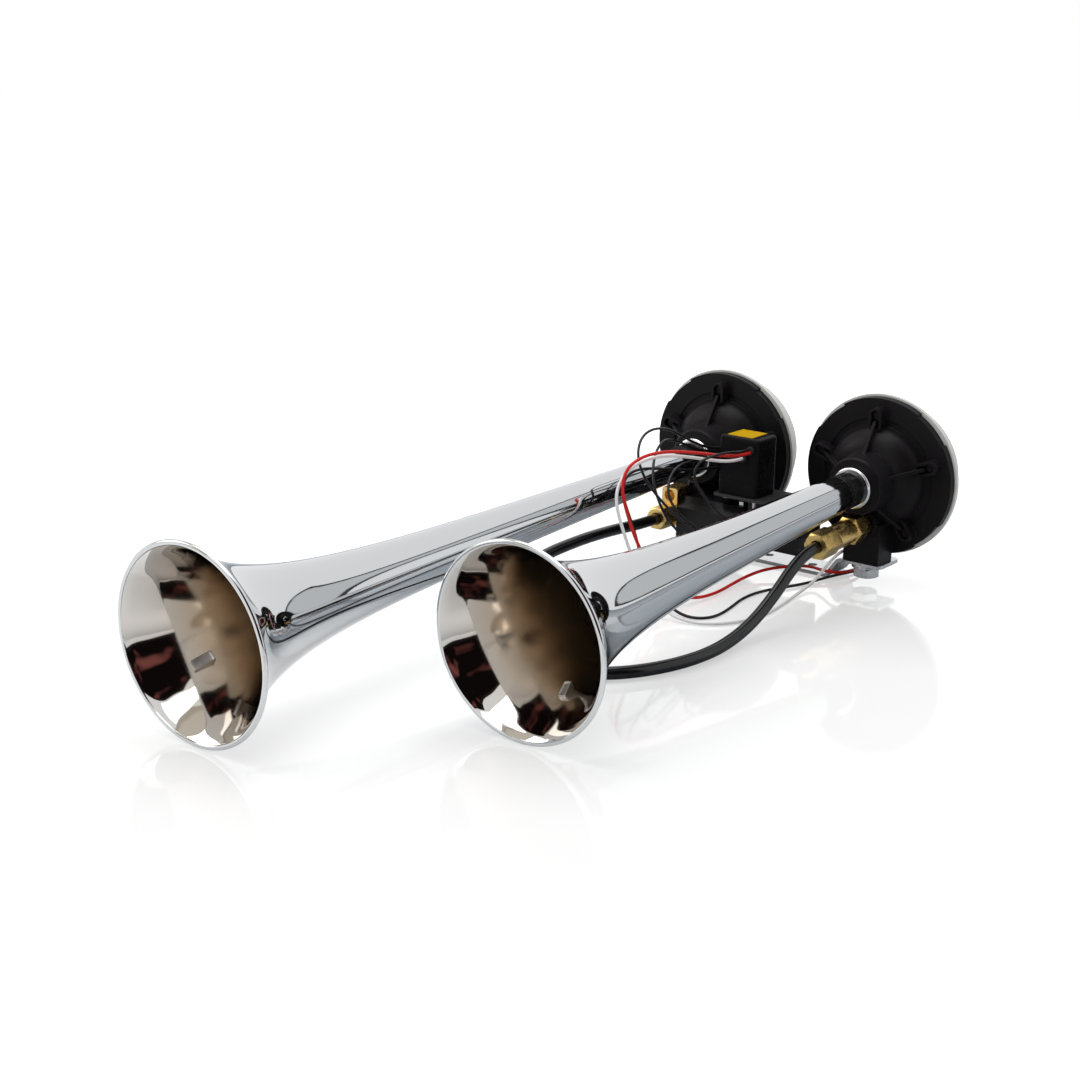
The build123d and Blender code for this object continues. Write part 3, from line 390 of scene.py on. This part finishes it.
tinned = Finish("tinned_copper", metallic=1.0)
strands = tinned.noise(1200, 2)
tinned.set(
    base_color=tinned.colour(strands, (0.52, 0.5, 0.47, 1), (0.72, 0.7, 0.67, 1)),
    roughness=strands.fit(0.3, 0.7, 0.25, 0.4),
)
core_radius = 0.0006
for colour, start, end in (
    ("red", (49.0, -7.0, 3.45), (49.4, -14.0, 3.0)),
    ("white", (48.0, -2.0, 20.1), (48.2, -9.0, 19.2)),
    ("black", (47.7, -11.0, 1.1), (49.8, -17.5, 1.1)),
):
    core = bpy.data.curves.new(colour + "_core_line", "CURVE")
    core.dimensions = "3D"
    core.bevel_depth = core_radius
    core.use_fill_caps = True
    line = core.splines.new("POLY")
    line.points.add(1)
    for point, (x, front, z) in zip(line.points, (start, end)):
        point.co = (x / 1000, flange_y - front / 1000, z / 1000, 1)
    core_piece = bpy.data.objects.new(colour + "_core", core)
    bpy.context.collection.objects.link(core_piece)
    tinned.wear(colour + "_insulation", core_piece)
    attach(core_piece, ROOT)

# ---- thin wires to the coil ----
# Four thin black leads from the controller's grommets, three at its side and one at its front, to
# the plug on the solenoid coil. They arch forward between the horns first.
cord(
    "solenoid_wire_1",
    diameter=0.0018,
    finish=black_insulation,
    slot="black_insulation",
    points=[
        (-36.2, 34.0, 85.2),
        (-41.5, 40.0, 85.4),
        (-44.0, 51.0, 87.5),
        (-44.5, 66.0, 93.0),
        (-46.0, 83.0, 102.0),
        (-46.5, 100.0, 109.0),
        (-46.0, 118.0, 111.0),
        (-44.0, 132.0, 107.5),
        (-40.0, 141.0, 99.0),
        (-34.5, 144.0, 89.0),
        (-27.5, 142.5, 78.5),
        (-19.5, 137.5, 67.5),
        (-11.5, 129.5, 56.5),
        (-5.0, 117.0, 47.5),
        (0.0, 101.0, 43.0),
        (3.5, 84.0, 41.3),
        (6.0, 67.0, 41.0),
        (6.0, 51.0, 41.0),
    ],
)
cord(
    "solenoid_wire_2",
    diameter=0.0018,
    finish=black_insulation,
    slot="black_insulation",
    points=[
        (-36.2, 34.0, 82.8),
        (-41.5, 40.5, 83.0),
        (-44.5, 53.0, 85.0),
        (-46.5, 70.0, 91.0),
        (-47.0, 87.0, 98.5),
        (-45.0, 104.0, 101.5),
        (-40.5, 120.0, 95.5),
        (-34.0, 131.5, 84.0),
        (-26.5, 136.5, 71.0),
        (-18.0, 135.5, 57.0),
        (-10.0, 128.0, 45.0),
        (-2.0, 114.0, 37.0),
        (5.0, 97.0, 33.5),
        (10.0, 79.0, 33.5),
        (12.0, 65.0, 35.0),
        (12.0, 51.0, 35.0),
    ],
)
cord(
    "solenoid_wire_3",
    diameter=0.0018,
    finish=black_insulation,
    slot="black_insulation",
    points=[
        (-9.6, 51.0, 91.0),
        (-9.6, 61.0, 91.0),
        (-10.0, 74.5, 93.3),
        (-13.2, 88.8, 93.2),
        (-17.4, 101.3, 90.2),
        (-18.0, 106.5, 81.2),
        (-13.8, 103.5, 71.3),
        (-8.0, 97.0, 60.2),
        (-2.0, 88.0, 49.5),
        (6.0, 78.0, 42.5),
        (12.0, 66.0, 41.0),
        (12.0, 51.0, 41.0),
    ],
)
cord(
    "solenoid_wire_4",
    diameter=0.0018,
    finish=black_insulation,
    slot="black_insulation",
    points=[
        (-36.2, 37.0, 74.3),
        (-41.0, 42.0, 76.5),
        (-43.0, 54.0, 79.0),
        (-41.5, 73.5, 82.0),
        (-38.7, 94.5, 82.7),
        (-33.3, 112.5, 78.2),
        (-28.5, 120.5, 68.5),
        (-20.0, 121.0, 58.5),
        (-10.0, 115.0, 49.0),
        (-2.0, 102.0, 41.0),
        (3.0, 86.0, 36.5),
        (6.0, 69.0, 35.0),
        (6.0, 51.0, 35.0),
    ],
)

# ---- studio ----
# White table, plain soft light from a large overhead lamp and a window at the left. The glowing panels
# round the table show only as reflections, in polished metal and in gloss: painted reflections that
# light nothing.

# The camera sees the table half lit by its own glow, so the horns' shadows stay light, and polished
# by the bracket. In the metal the table is painted darker behind the horns, a painted shade of the
# horns, and glows before them, a painted light.
table = Finish("table_white", specular_ior_level=0.42)
seen = table.node("ShaderNodeLightPath", output="Is Camera Ray")
mirrored = table.node("ShaderNodeLightPath", output="Is Glossy Ray")
away = table.vector("LENGTH", table.place)
behind = table.axis("Y").fit(-0.14, 0.0)
bracket_foot = (0.075, 0.215, 0)
from_bracket = table.vector("DISTANCE", table.place, bracket_foot)
# Painted shade: seen in the metal, the table behind the horns is darker, standing in for their shadow.
painted_shade = table.colour(behind * mirrored, (0.82, 0.82, 0.82, 1), (0.46, 0.50, 0.54, 1))
# Painted light: seen in the metal, the table before the horns glows.
painted_glow = table.colour((1 - behind) * mirrored, (0, 0, 0, 1), (0.2, 0.2, 0.2, 1))
lift = table.colour(away.fit(0.42, 0.75), (0.5, 0.5, 0.5, 1), (1, 1, 1, 1))
table.set(
    base_color=table.colour(seen, painted_shade, (0.55, 0.55, 0.55, 1)),
    roughness=away.fit(0.5, 0.9, 0.06, 0.9),
    metallic=seen * from_bracket.fit(0.05, 0.16, 0.35, 0.0),
    emission_color=table.colour(seen, painted_glow, lift),
    emission_strength=1.0,
)
half, table_top = 6.0, -0.0003
corners = [(x, y, table_top) for x, y in ((-half, -half), (half, -half), (half, half), (-half, half))]
table_mesh = bpy.data.meshes.new("table")
table_mesh.from_pydata(corners, [], [(0, 1, 2, 3)])
table_mesh.materials.append(table.material)
table_sheet = bpy.data.objects.new("table", table_mesh)
bpy.context.collection.objects.link(table_sheet)

# The room is white wherever it is seen, directly or in a piece, and gives half that as light.
world = bpy.data.worlds.new("studio")
world.use_nodes = True
bpy.context.scene.world = world
tree = world.node_tree
tree.nodes.clear()
link = tree.links.new
path = tree.nodes.new("ShaderNodeLightPath")
looked_at = path.outputs["Is Camera Ray"]
for ray in ("Is Glossy Ray", "Is Transmission Ray"):
    either = tree.nodes.new("ShaderNodeMath")
    either.operation = "MAXIMUM"
    link(looked_at, either.inputs[0])
    link(path.outputs[ray], either.inputs[1])
    looked_at = either.outputs[0]
choice = tree.nodes.new("ShaderNodeMixShader")
link(looked_at, choice.inputs[0])
for entry, strength in ((1, 0.5), (2, 1.0)):
    glow = tree.nodes.new("ShaderNodeBackground")
    glow.inputs["Color"].default_value = (1, 1, 1, 1)
    glow.inputs["Strength"].default_value = strength
    link(glow.outputs[0], choice.inputs[entry])
link(choice.outputs[0], tree.nodes.new("ShaderNodeOutputWorld").inputs[0])


def lamp(name, place, aim, size, watts):
    """Soft square lamp."""
    light = bpy.data.lights.new(name, "AREA")
    light.shape = "SQUARE"
    light.size = size
    light.energy = watts
    holder = bpy.data.objects.new(name, light)
    turn = (Vector(aim) - Vector(place)).to_track_quat("-Z", "Y").to_matrix().to_4x4()
    holder.matrix_world = Matrix.Translation(place) @ turn
    bpy.context.collection.objects.link(holder)


lamp("overhead", place=(-0.3, 0.1, 1.9), aim=(0, 0, 0), size=1.6, watts=22)
lamp("window", place=(-1.9, -0.9, 1.2), aim=(0, 0, 0.05), size=1.2, watts=10)


def grid_mesh(name, places, wrap_u=False, wrap_v=True, uv=None, sharp=40):
    """Surface of quads over an array of places [u, v, 3]; a wrapped direction closes on itself, and
    an edge is sharp where its faces turn by more than that many degrees."""
    rows, columns = places.shape[:2]
    number = np.arange(rows * columns).reshape(rows, columns)
    across = np.concatenate((number, number[:1])) if wrap_u else number
    across = np.concatenate((across, across[:, :1]), axis=1) if wrap_v else across
    quads = np.stack((across[:-1, :-1], across[1:, :-1], across[1:, 1:], across[:-1, 1:]), axis=-1)
    quads = quads.reshape(-1, 4)
    mesh = bpy.data.meshes.new(name)
    mesh.from_pydata(places.reshape(-1, 3).tolist(), [], quads.tolist())
    mesh.polygons.foreach_set("use_smooth", np.ones(len(quads), bool))
    if uv is not None:
        layer = mesh.uv_layers.new(name="run")
        layer.data.foreach_set("uv", uv.reshape(-1, 2)[quads.ravel()].astype(np.float32).ravel())
    mesh.set_sharp_from_angle(angle=radians(sharp))
    piece = bpy.data.objects.new(name, mesh)
    bpy.context.collection.objects.link(piece)
    return piece


def flag(name, azimuth, elevation, distance, middle, border, soft, strength=1.0, patch=None):
    """Panel on a big sphere round the horns, azimuth from +Y towards +X, both in degrees. It glows
    with the middle colour, in patches with the patch colour, and turns to the border colour over
    its soft outer share, a rounded square: (|x|^8 + |y|^8)^(1/8) from its middle."""
    across, high = (np.radians(np.linspace(*span, 25)) for span in (azimuth, elevation))
    across, high = np.meshgrid(across, high, indexing="ij")
    way = (np.sin(across) * np.cos(high), np.cos(across) * np.cos(high), np.sin(high))
    places = distance * np.stack(way, axis=-1)
    share = np.stack(np.meshgrid(*(np.linspace(-1, 1, 25),) * 2, indexing="ij"), axis=-1)
    panel = grid_mesh(name, places, wrap_v=False, uv=share)
    finish = Finish(name, base_color=(0, 0, 0, 1), specular_ior_level=0.0, emission_strength=strength)
    uv = finish.node("ShaderNodeUVMap", {"uv_map": "run"})
    inside = finish.colour(finish.noise(1.3, 2, at=uv).fit(0.54, 0.72), middle, patch or middle)
    x, y = (finish.axis(letter, uv).math("ABSOLUTE") for letter in "XY")
    rim = (x**8 + y**8) ** 0.125
    edge = (rim + finish.noise(3.0, 3, at=uv).fit(0.3, 0.7, -0.03, 0.03)).fit(1 - soft, 1 - soft / 2)
    finish.set(emission_color=finish.colour(edge, inside, border))
    panel.data.materials.append(finish.material)
    # Seen only in metal and gloss: each panel is a painted reflection and lights nothing.
    for ray in ("camera", "diffuse", "shadow", "transmission"):
        setattr(panel, "visible_" + ray, False)


# Painted reflections: a dark room with pinkish patches, a bright softbox highlight, a warm wall and a grey
# band with a dark border.
flag(
    "dark_room",
    azimuth=(93, 160),
    elevation=(0.2, 62),
    distance=3.0,
    middle=(0.006, 0.004, 0.004, 1),
    border=(0.02, 0.016, 0.014, 1),
    soft=0.1,
    patch=(0.30, 0.095, 0.085, 1),
)
flag(
    "softbox",
    azimuth=(164, 207),
    elevation=(53, 71),
    distance=2.6,
    middle=(1, 1, 1, 1),
    border=(1, 1, 1, 1),
    soft=0.05,
    strength=2.6,
)
flag(
    "warm_wall",
    azimuth=(209, 285),
    elevation=(14, 64),
    distance=3.0,
    middle=(0.72, 0.67, 0.58, 1),
    border=(0.55, 0.5, 0.43, 1),
    soft=0.2,
)
flag(
    "grey_flag",
    azimuth=(12, 36),
    elevation=(4, 34),
    distance=1.8,
    middle=(0.68, 0.69, 0.70, 1),
    border=(0.05, 0.05, 0.055, 1),
    soft=0.15,
)

# ---- trumpets ----
# Spun sheet metal horns, chrome plated: a rolled rim on the floor, a rounded shoulder at the ribbed
# nut, and a threaded stub through nut and ring into the housing. A small stamped plate sits on the
# wall inside each bell.
axis_height = 0.075            # horn axis above the floor, at the flange faces
spacing = 0.1275               # between the two horn axes
bell_radius, rim_bead = 0.0575, 0.0016
wall = 0.0012
body_start = 0.054             # rear end of a trumpet's body, in front of the flange face
shoulder = 0.003
stub_radius, throat_radius = 0.0085, 0.0055
stub_end = 0.021               # rear end of its stub, inside the housing's boss
taper_rise = 0.0075            # radius that the straight taper gains
slow_rise, slow_reach = 0.026, 0.066           # the slow flare's radius, and how far back it reaches
quick_reach = 0.026
thickening, thickening_reach = 0.0009, 0.006   # of the wall, near the mouth
chamfer = 0.001
rim_room = 0.0012              # the outer flare stops this far behind the mouth, under the rolled rim


class Horn:
    """One horn's axis: it runs from the flange face forward and down to the bell mouth."""

    def __init__(self, side, x, length, neck):
        self.side, self.x, self.neck = side, x, neck
        self.mouth, self.rim = length - rim_bead, bell_radius - rim_bead
        slant = asin((axis_height - rim_bead) / hypot(self.mouth, self.rim))
        self.rake = slant - atan2(self.rim, self.mouth)
        self.forward = np.array((0, -cos(self.rake), -sin(self.rake)))
        self.up = np.array((0, -sin(self.rake), cos(self.rake)))
        self.root = np.array((x, flange_y, axis_height))

    def at(self, along, radius, angle):
        """Places at angle (from +X towards up) and radius round the axis, along it from the flange."""
        along, radius, angle = np.broadcast_arrays(along, radius, angle)
        across = np.multiply.outer(radius * np.cos(angle), (1, 0, 0))
        height = np.multiply.outer(radius * np.sin(angle), self.up)
        return self.root + np.multiply.outer(along, self.forward) + across + height


long_horn = Horn("long", x=-spacing / 2, length=0.511, neck=0.0106)
short_horn = Horn("short", x=spacing / 2, length=0.396, neck=0.012)


def flare(horn, u):
    """Outer radius u behind the mouth: a straight taper and two exponential flares."""
    taper = taper_rise * (1 - u / (horn.mouth - body_start))
    quick_rise = horn.rim - horn.neck - taper_rise - slow_rise
    return horn.neck + taper + slow_rise * np.exp(-u / slow_reach) + quick_rise * np.exp(-u / quick_reach)


def inner_wall(horn, u):
    """Inner radius u behind the mouth: the wall is a bell curve thicker near the mouth, to run
    tangent into the rolled rim."""
    return flare(horn, u) - wall - thickening * np.exp(-((u / thickening_reach) ** 2))


def trumpet_profile(horn, stations=110):
    """Closed outline (along, radius): outer flare from the mouth back, shoulder, stub, throat,
    inner flare to the mouth, and round the rolled rim. The two numbers after it are where its
    inside rows start and stop."""
    rear = body_start + shoulder
    u = (horn.mouth - rear) * np.linspace(0, 1, stations) ** 1.8
    outer = np.stack((horn.mouth - u, flare(horn, u)), axis=1)
    turn = np.linspace(0, pi / 2, 8)[1:]
    corner = outer[-1, 1] - shoulder
    bend = np.stack((rear - shoulder * np.sin(turn), corner + shoulder * np.cos(turn)), axis=1)
    stub = np.array(((body_start, stub_radius), (stub_end, stub_radius), (stub_end, throat_radius)))
    ledge = body_start + wall
    floor = np.array(((ledge, throat_radius), (ledge, outer[-1, 1] - wall - chamfer)))
    # the inner wall runs on a little past the mouth, into the rolled rim
    past_mouth = (-0.00052, -0.00104)
    behind = np.append(horn.mouth - outer[::-1, 0], past_mouth)
    inner = np.stack((horn.mouth - behind, inner_wall(horn, behind)), axis=1)
    round_ = np.linspace(-pi * 0.26, pi * 0.8, 20)
    bead = np.stack((horn.mouth + rim_bead * np.cos(round_), horn.rim + rim_bead * np.sin(round_)), axis=1)
    outer = outer[outer[:, 0] < horn.mouth - rim_room]
    outline = np.concatenate((outer, bend, stub, floor, inner, bead))
    inside = len(outer) + len(bend) + 2
    return outline, inside, inside + 1 + len(floor) + len(inner)


def trumpet(horn, around=192):
    """Outline turned about the horn's axis. Its UV holds the way along the axis and behind the mouth."""
    outline, inside, mouth = trumpet_profile(horn)
    angle = np.arange(around) * 2 * pi / around
    along = outline[:, :1]
    places = horn.at(along, outline[:, 1:], angle[None, :])
    run = np.broadcast_to(along, places.shape[:2])
    uv = np.stack((run, horn.mouth - run), axis=-1)
    piece = grid_mesh(f"{horn.side}_trumpet_spun", places, wrap_u=True, uv=uv, sharp=50)
    rows = np.repeat(np.arange(len(outline)), around)
    piece.data.polygons.foreach_set("material_index", ((rows >= inside) & (rows < mouth)).astype(np.int32))
    return piece


def bare_metal(name, dark, light, roughness, grain=0.000006, edge=0.0004):
    """Bare or plated metal: mottled tone, fine scratches in the sheen, broken edges."""
    finish = Finish(name, metallic=1.0)
    mottled = finish.noise(160, 4, 0.6)
    fine = finish.noise(2600, 2)
    finish.set(
        base_color=finish.colour(mottled, dark, light),
        roughness=(mottled + fine).fit(0.7, 1.3, roughness - 0.07, roughness + 0.1),
    )
    finish.relief(fine, grain, edge)
    return finish


def plate(horn, u, angle, length, width, climb=0.0026):
    """Raised plate on the inner wall, u behind the mouth, over s along it and t across it from -1
    to 1. Its height goes by the distance (|s|^10 + |t|^10)^(1/10) from its middle: a flat field, a
    higher frame and a steep side, with a climb towards the throat added to all but the side."""
    s, t = np.meshgrid(np.linspace(-1, 1, 41), np.linspace(-1, 1, 33), indexing="ij")
    rim = (np.abs(s) ** 10 + np.abs(t) ** 10) ** 0.1
    height = np.interp(rim, (0.72, 0.77, 0.91, 0.96), (0.0014, 0.0018, 0.0018, -0.0004))
    height = height + np.where(rim < 0.94, climb * (s + 1) / 2, 0)
    back = u + s * length / 2
    inner = inner_wall(horn, back)
    step = 1e-5
    slope = (flare(horn, back + step) - flare(horn, back - step)) / (2 * step)
    turn = radians(angle) + t * width / 2 / inner
    tilt = np.sqrt(1 + slope**2)
    along = horn.mouth - back - height * slope / tilt
    places = horn.at(along, inner - height / tilt, turn)
    return grid_mesh(f"{horn.side}_bell_plate", places, wrap_v=False, sharp=35)


chrome = Finish("chrome_plate", base_color=(0.62, 0.635, 0.65, 1), metallic=1.0)
chrome.set(roughness=chrome.noise(40, 3).fit(0.35, 0.75, 0.03, 0.06))
bell_inside = Finish("chrome_inside", metallic=1.0)
run = bell_inside.node("ShaderNodeUVMap", {"uv_map": "run"})
along_axis, depth = (bell_inside.axis(letter, run) for letter in "XY")
turning = bell_inside.node(
    "ShaderNodeTexNoise",
    {"noise_dimensions": "1D"},
    {"W": along_axis, "Scale": 1900, "Detail": 3},
)
duller = depth.fit(0.010, 0.028, 0.0, 0.07) + depth.fit(0.028, 0.08, 0.0, 0.16)
# Painted shade: the inside's colour turns darker and browner towards the throat.
painted_throat_shade = depth.fit(0.0, 0.05)
bell_inside.set(
    base_color=bell_inside.colour(painted_throat_shade, (0.62, 0.605, 0.585, 1), (0.57, 0.485, 0.39, 1)),
    roughness=turning.fit(0.3, 0.7, 0.02, 0.05) + duller,
)
bell_inside.relief(turning, 0.000002)
stamped_metal = bare_metal(
    "bell_plate", (0.50, 0.48, 0.46, 1), (0.66, 0.64, 0.62, 1), roughness=0.34, grain=0.00001
)
# each plate's place behind the mouth, angle, length and width
plates = ((long_horn, 0.030, -137.5, 0.0128, 0.0074), (short_horn, 0.0305, -77.0, 0.0095, 0.0058))
for horn, u, angle, length, width in plates:
    spun = trumpet(horn)
    chrome.wear("chrome_plate", spun)
    bell_inside.wear("chrome_plate", spun)
    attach(spun, ROOT)
    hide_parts(f"{horn.side}_trumpet")
    stamped = plate(horn, u, angle, length, width)
    stamped_metal.wear("chrome_plate", stamped)
    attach(stamped, ROOT)

# ---- neck rings and nuts ----
# A turned chrome ring and a moulded black nut with grip pockets clamp each trumpet's stub to its
# housing.
edged_chrome = Finish("chrome_ring", base_color=(0.84, 0.845, 0.86, 1), metallic=1.0)
edged_chrome.set(
    roughness=edged_chrome.noise(300, 2).fit(0.3, 0.7, 0.05, 0.1),
    normal=edged_chrome.rounded(0.0006),
)
edged_chrome.wear("chrome_plate", "long_neck_ring", "short_neck_ring")


def moulded(name, dark, light, roughness, grain=0.00002, edge=0.0005, edge_light=0.0, sheen=0.35):
    """Moulded or painted black part: fine grain, uneven sheen, rounded edges that catch light, and
    edges worn paler where edge_light is given."""
    finish = Finish(name, specular_ior_level=sheen)
    grainy = finish.noise(1500, 3, 0.6)
    broad = finish.noise(55, 3)
    base = finish.colour(broad, dark, light)
    if edge_light:
        worn = finish.edges(edge) * finish.noise(420, 3).fit(0.35, 0.65)
        tone = (*(c + edge_light for c in light[:3]), 1)
        base = finish.colour(worn, base, tone)
    finish.set(
        base_color=base,
        roughness=(broad + grainy).fit(0.7, 1.3, roughness - 0.06, roughness + 0.08),
    )
    finish.relief(grainy, grain, edge)
    return finish


black_plastic = moulded(
    "black_plastic", (0.004, 0.004, 0.004, 1), (0.008, 0.008, 0.008, 1), roughness=0.22, sheen=0.25
)
black_plastic.wear("black_plastic", "long_neck_nut", "short_neck_nut")

# ---- diaphragm housings ----
# Die cast and painted satin black: lobed flange, domed front with five ribs, screw ears, a boss for
# the trumpet and a foot with the inlet.
casting = moulded(
    "black_casting",
    (0.007, 0.0062, 0.007, 1),
    (0.013, 0.0115, 0.013, 1),
    roughness=0.34,
    grain=0.00005,
    edge=0.0008,
    edge_light=0.012,
    sheen=0.1,
)
casting.wear("black_casting", "long_housing", "short_housing", "long_cover_screws", "short_cover_screws")

# ---- diaphragms and gaskets ----
# Thin spring steel disc and its rubber gasket, clamped between the housing and the rear cover.
steel = bare_metal("spring_steel", (0.5, 0.49, 0.48, 1), (0.62, 0.61, 0.6, 1), roughness=0.28)
rubber = moulded(
    "black_rubber", (0.012, 0.012, 0.012, 1), (0.022, 0.022, 0.022, 1), roughness=0.62, grain=0.00003
)
steel.wear("spring_steel", "long_diaphragm", "short_diaphragm")
rubber.wear("black_rubber", "long_gasket", "short_gasket")

# ---- rear covers ----
# Pressed steel covers in pale grey satin paint, with a thin rim behind the flange and a deep drum,
# held by five screws from the front.
cover_paint = Finish("cover_paint", specular_ior_level=0.5, coat_weight=0.25, coat_roughness=0.2)
peel = cover_paint.noise(700, 2)
cloudy = cover_paint.noise(30, 3)
cover_paint.set(
    base_color=cover_paint.colour(cloudy, (0.70, 0.705, 0.68, 1), (0.76, 0.765, 0.735, 1)),
    roughness=peel.fit(0.3, 0.7, 0.3, 0.42),
)
cover_paint.relief(peel, 0.00002, 0.0008)
cover_paint.wear("cover_paint", "long_rear_cover", "short_rear_cover")

# ---- bracket and foot bolts ----
# One bent and zinc plated steel strap stands on the floor and carries both feet on its raised ends,
# each held by a flanged hexagon bolt.
zinc = bare_metal("zinc_plate", (0.60, 0.61, 0.62, 1), (0.76, 0.77, 0.78, 1), roughness=0.24)
zinc.wear("zinc_plate", "mounting_bracket", "long_foot_bolt", "short_foot_bolt")

# ---- short horn's inlet ----
# Turned brass nipple, union, compression nut and ferrule in line below the short horn.
brass = Finish("brass", metallic=1.0)
mottled = brass.noise(220, 4, 0.6)
tool_marks = brass.noise(2400, 2)
brass.set(
    base_color=brass.colour(mottled, (0.74, 0.47, 0.14, 1), (0.98, 0.72, 0.29, 1)),
    roughness=(mottled + tool_marks).fit(0.7, 1.3, 0.18, 0.32),
)
brass.relief(tool_marks, 0.000008, 0.0004)
brass.wear("brass", "inlet_nipple", "inlet_union", "inlet_nut", "inlet_ferrule")

# ---- valve ----
# Cast black valve body with a brass port block, outlet nut and the nipple into the long horn.
valve_casting = moulded(
    "valve_casting",
    (0.009, 0.008, 0.009, 1),
    (0.015, 0.0135, 0.015, 1),
    roughness=0.3,
    grain=0.00004,
    sheen=0.25,
)
valve_casting.wear("black_casting", "valve_body")
brass.wear("brass", "port_block", "outlet_nut", "outlet_ferrule", "horn_nipple")
zinc.wear("zinc_plate", "passage_plugs")

# ---- solenoid ----
# Steel plunger with a rubber seal, its return spring and the fixed core in a steel tube, inside a
# moulded coil with a plug for its four wires.
steel.wear("spring_steel", "core_tube", "fixed_core", "plunger")
rubber.wear("black_rubber", "plunger_seal")
black_plastic.wear("black_plastic", "solenoid_coil", "coil_plug")


def coil_spring(name, low, high, wire, turns):
    """Round wire of that radius, wound along X inside a box: a helix of even pitch is the centre
    line, and a circle square to it is carried along. Each end is closed by one point."""
    share = np.concatenate(((0,), np.linspace(0, 1, 30 * turns + 1), (1,)))
    turn = 2 * pi * turns * share
    radius = (high[2] - low[2]) / 2 - wire
    pitch = (high[0] - low[0] - 2 * wire) / turns
    out = np.stack((0 * turn, np.cos(turn), np.sin(turn)), axis=-1)
    middle = np.array((low[0] + wire, (low[1] + high[1]) / 2, (low[2] + high[2]) / 2))
    line = middle + np.multiply.outer(pitch * turns * share, (1, 0, 0)) + radius * out
    round_axis = np.stack((0 * turn, -np.sin(turn), np.cos(turn)), axis=-1)
    along = 2 * pi * radius * round_axis + (pitch, 0, 0)
    side = np.cross(out, along / np.linalg.norm(along, axis=-1, keepdims=True))
    thick = np.full((len(turn), 1, 1), wire)
    thick[[0, -1]] = 0
    around = np.arange(12)[None, :, None] * 2 * pi / 12
    places = line[:, None] + thick * (np.cos(around) * out[:, None] + np.sin(around) * side[:, None])
    piece = grid_mesh(name, places)
    piece.modifiers.new("ends", "WELD").merge_threshold = 1e-6
    return piece


spring_low, spring_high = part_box("plunger_spring")
spring = coil_spring("return_spring", spring_low, spring_high, wire=0.0004, turns=6)
steel.wear("spring_steel", spring)
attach(spring, ROOT)
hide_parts("plunger_spring")
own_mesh(spring)

# ---- controller ----
# Moulded box and base screwed to a painted plate, with a bare yellow label, two pairs of rubber
# grommets and a circuit board inside.
plate_paint = moulded(
    "plate_paint", (0.016, 0.016, 0.017, 1), (0.03, 0.03, 0.031, 1), roughness=0.4, sheen=0.5
)
label = Finish("yellow_label", specular_ior_level=0.3, roughness=0.3, coat_weight=0.1, coat_roughness=0.1)
label.set(base_color=label.colour(label.noise(300, 3), (0.62, 0.36, 0.0, 1), (0.72, 0.43, 0.0, 1)))
board = Finish("board_green", specular_ior_level=0.5, roughness=0.35)
board.set(base_color=board.colour(board.noise(500, 2), (0.01, 0.10, 0.03, 1), (0.02, 0.16, 0.05, 1)))
plate_paint.wear("plate_paint", "mounting_plate")
zinc.wear("zinc_plate", "plate_screws", "base_screws")
case_plastic = moulded(
    "case_plastic",
    (0.004, 0.004, 0.0045, 1),
    (0.007, 0.0065, 0.0075, 1),
    roughness=0.26,
    grain=0.00001,
    edge=0.0007,
    sheen=0.08,
)
case_plastic.wear("black_plastic", "controller_case", "controller_base")
label.wear("yellow_label", "controller_label")
board.wear("board_green", "circuit_board")
rubber.wear("black_rubber", "wire_grommets")
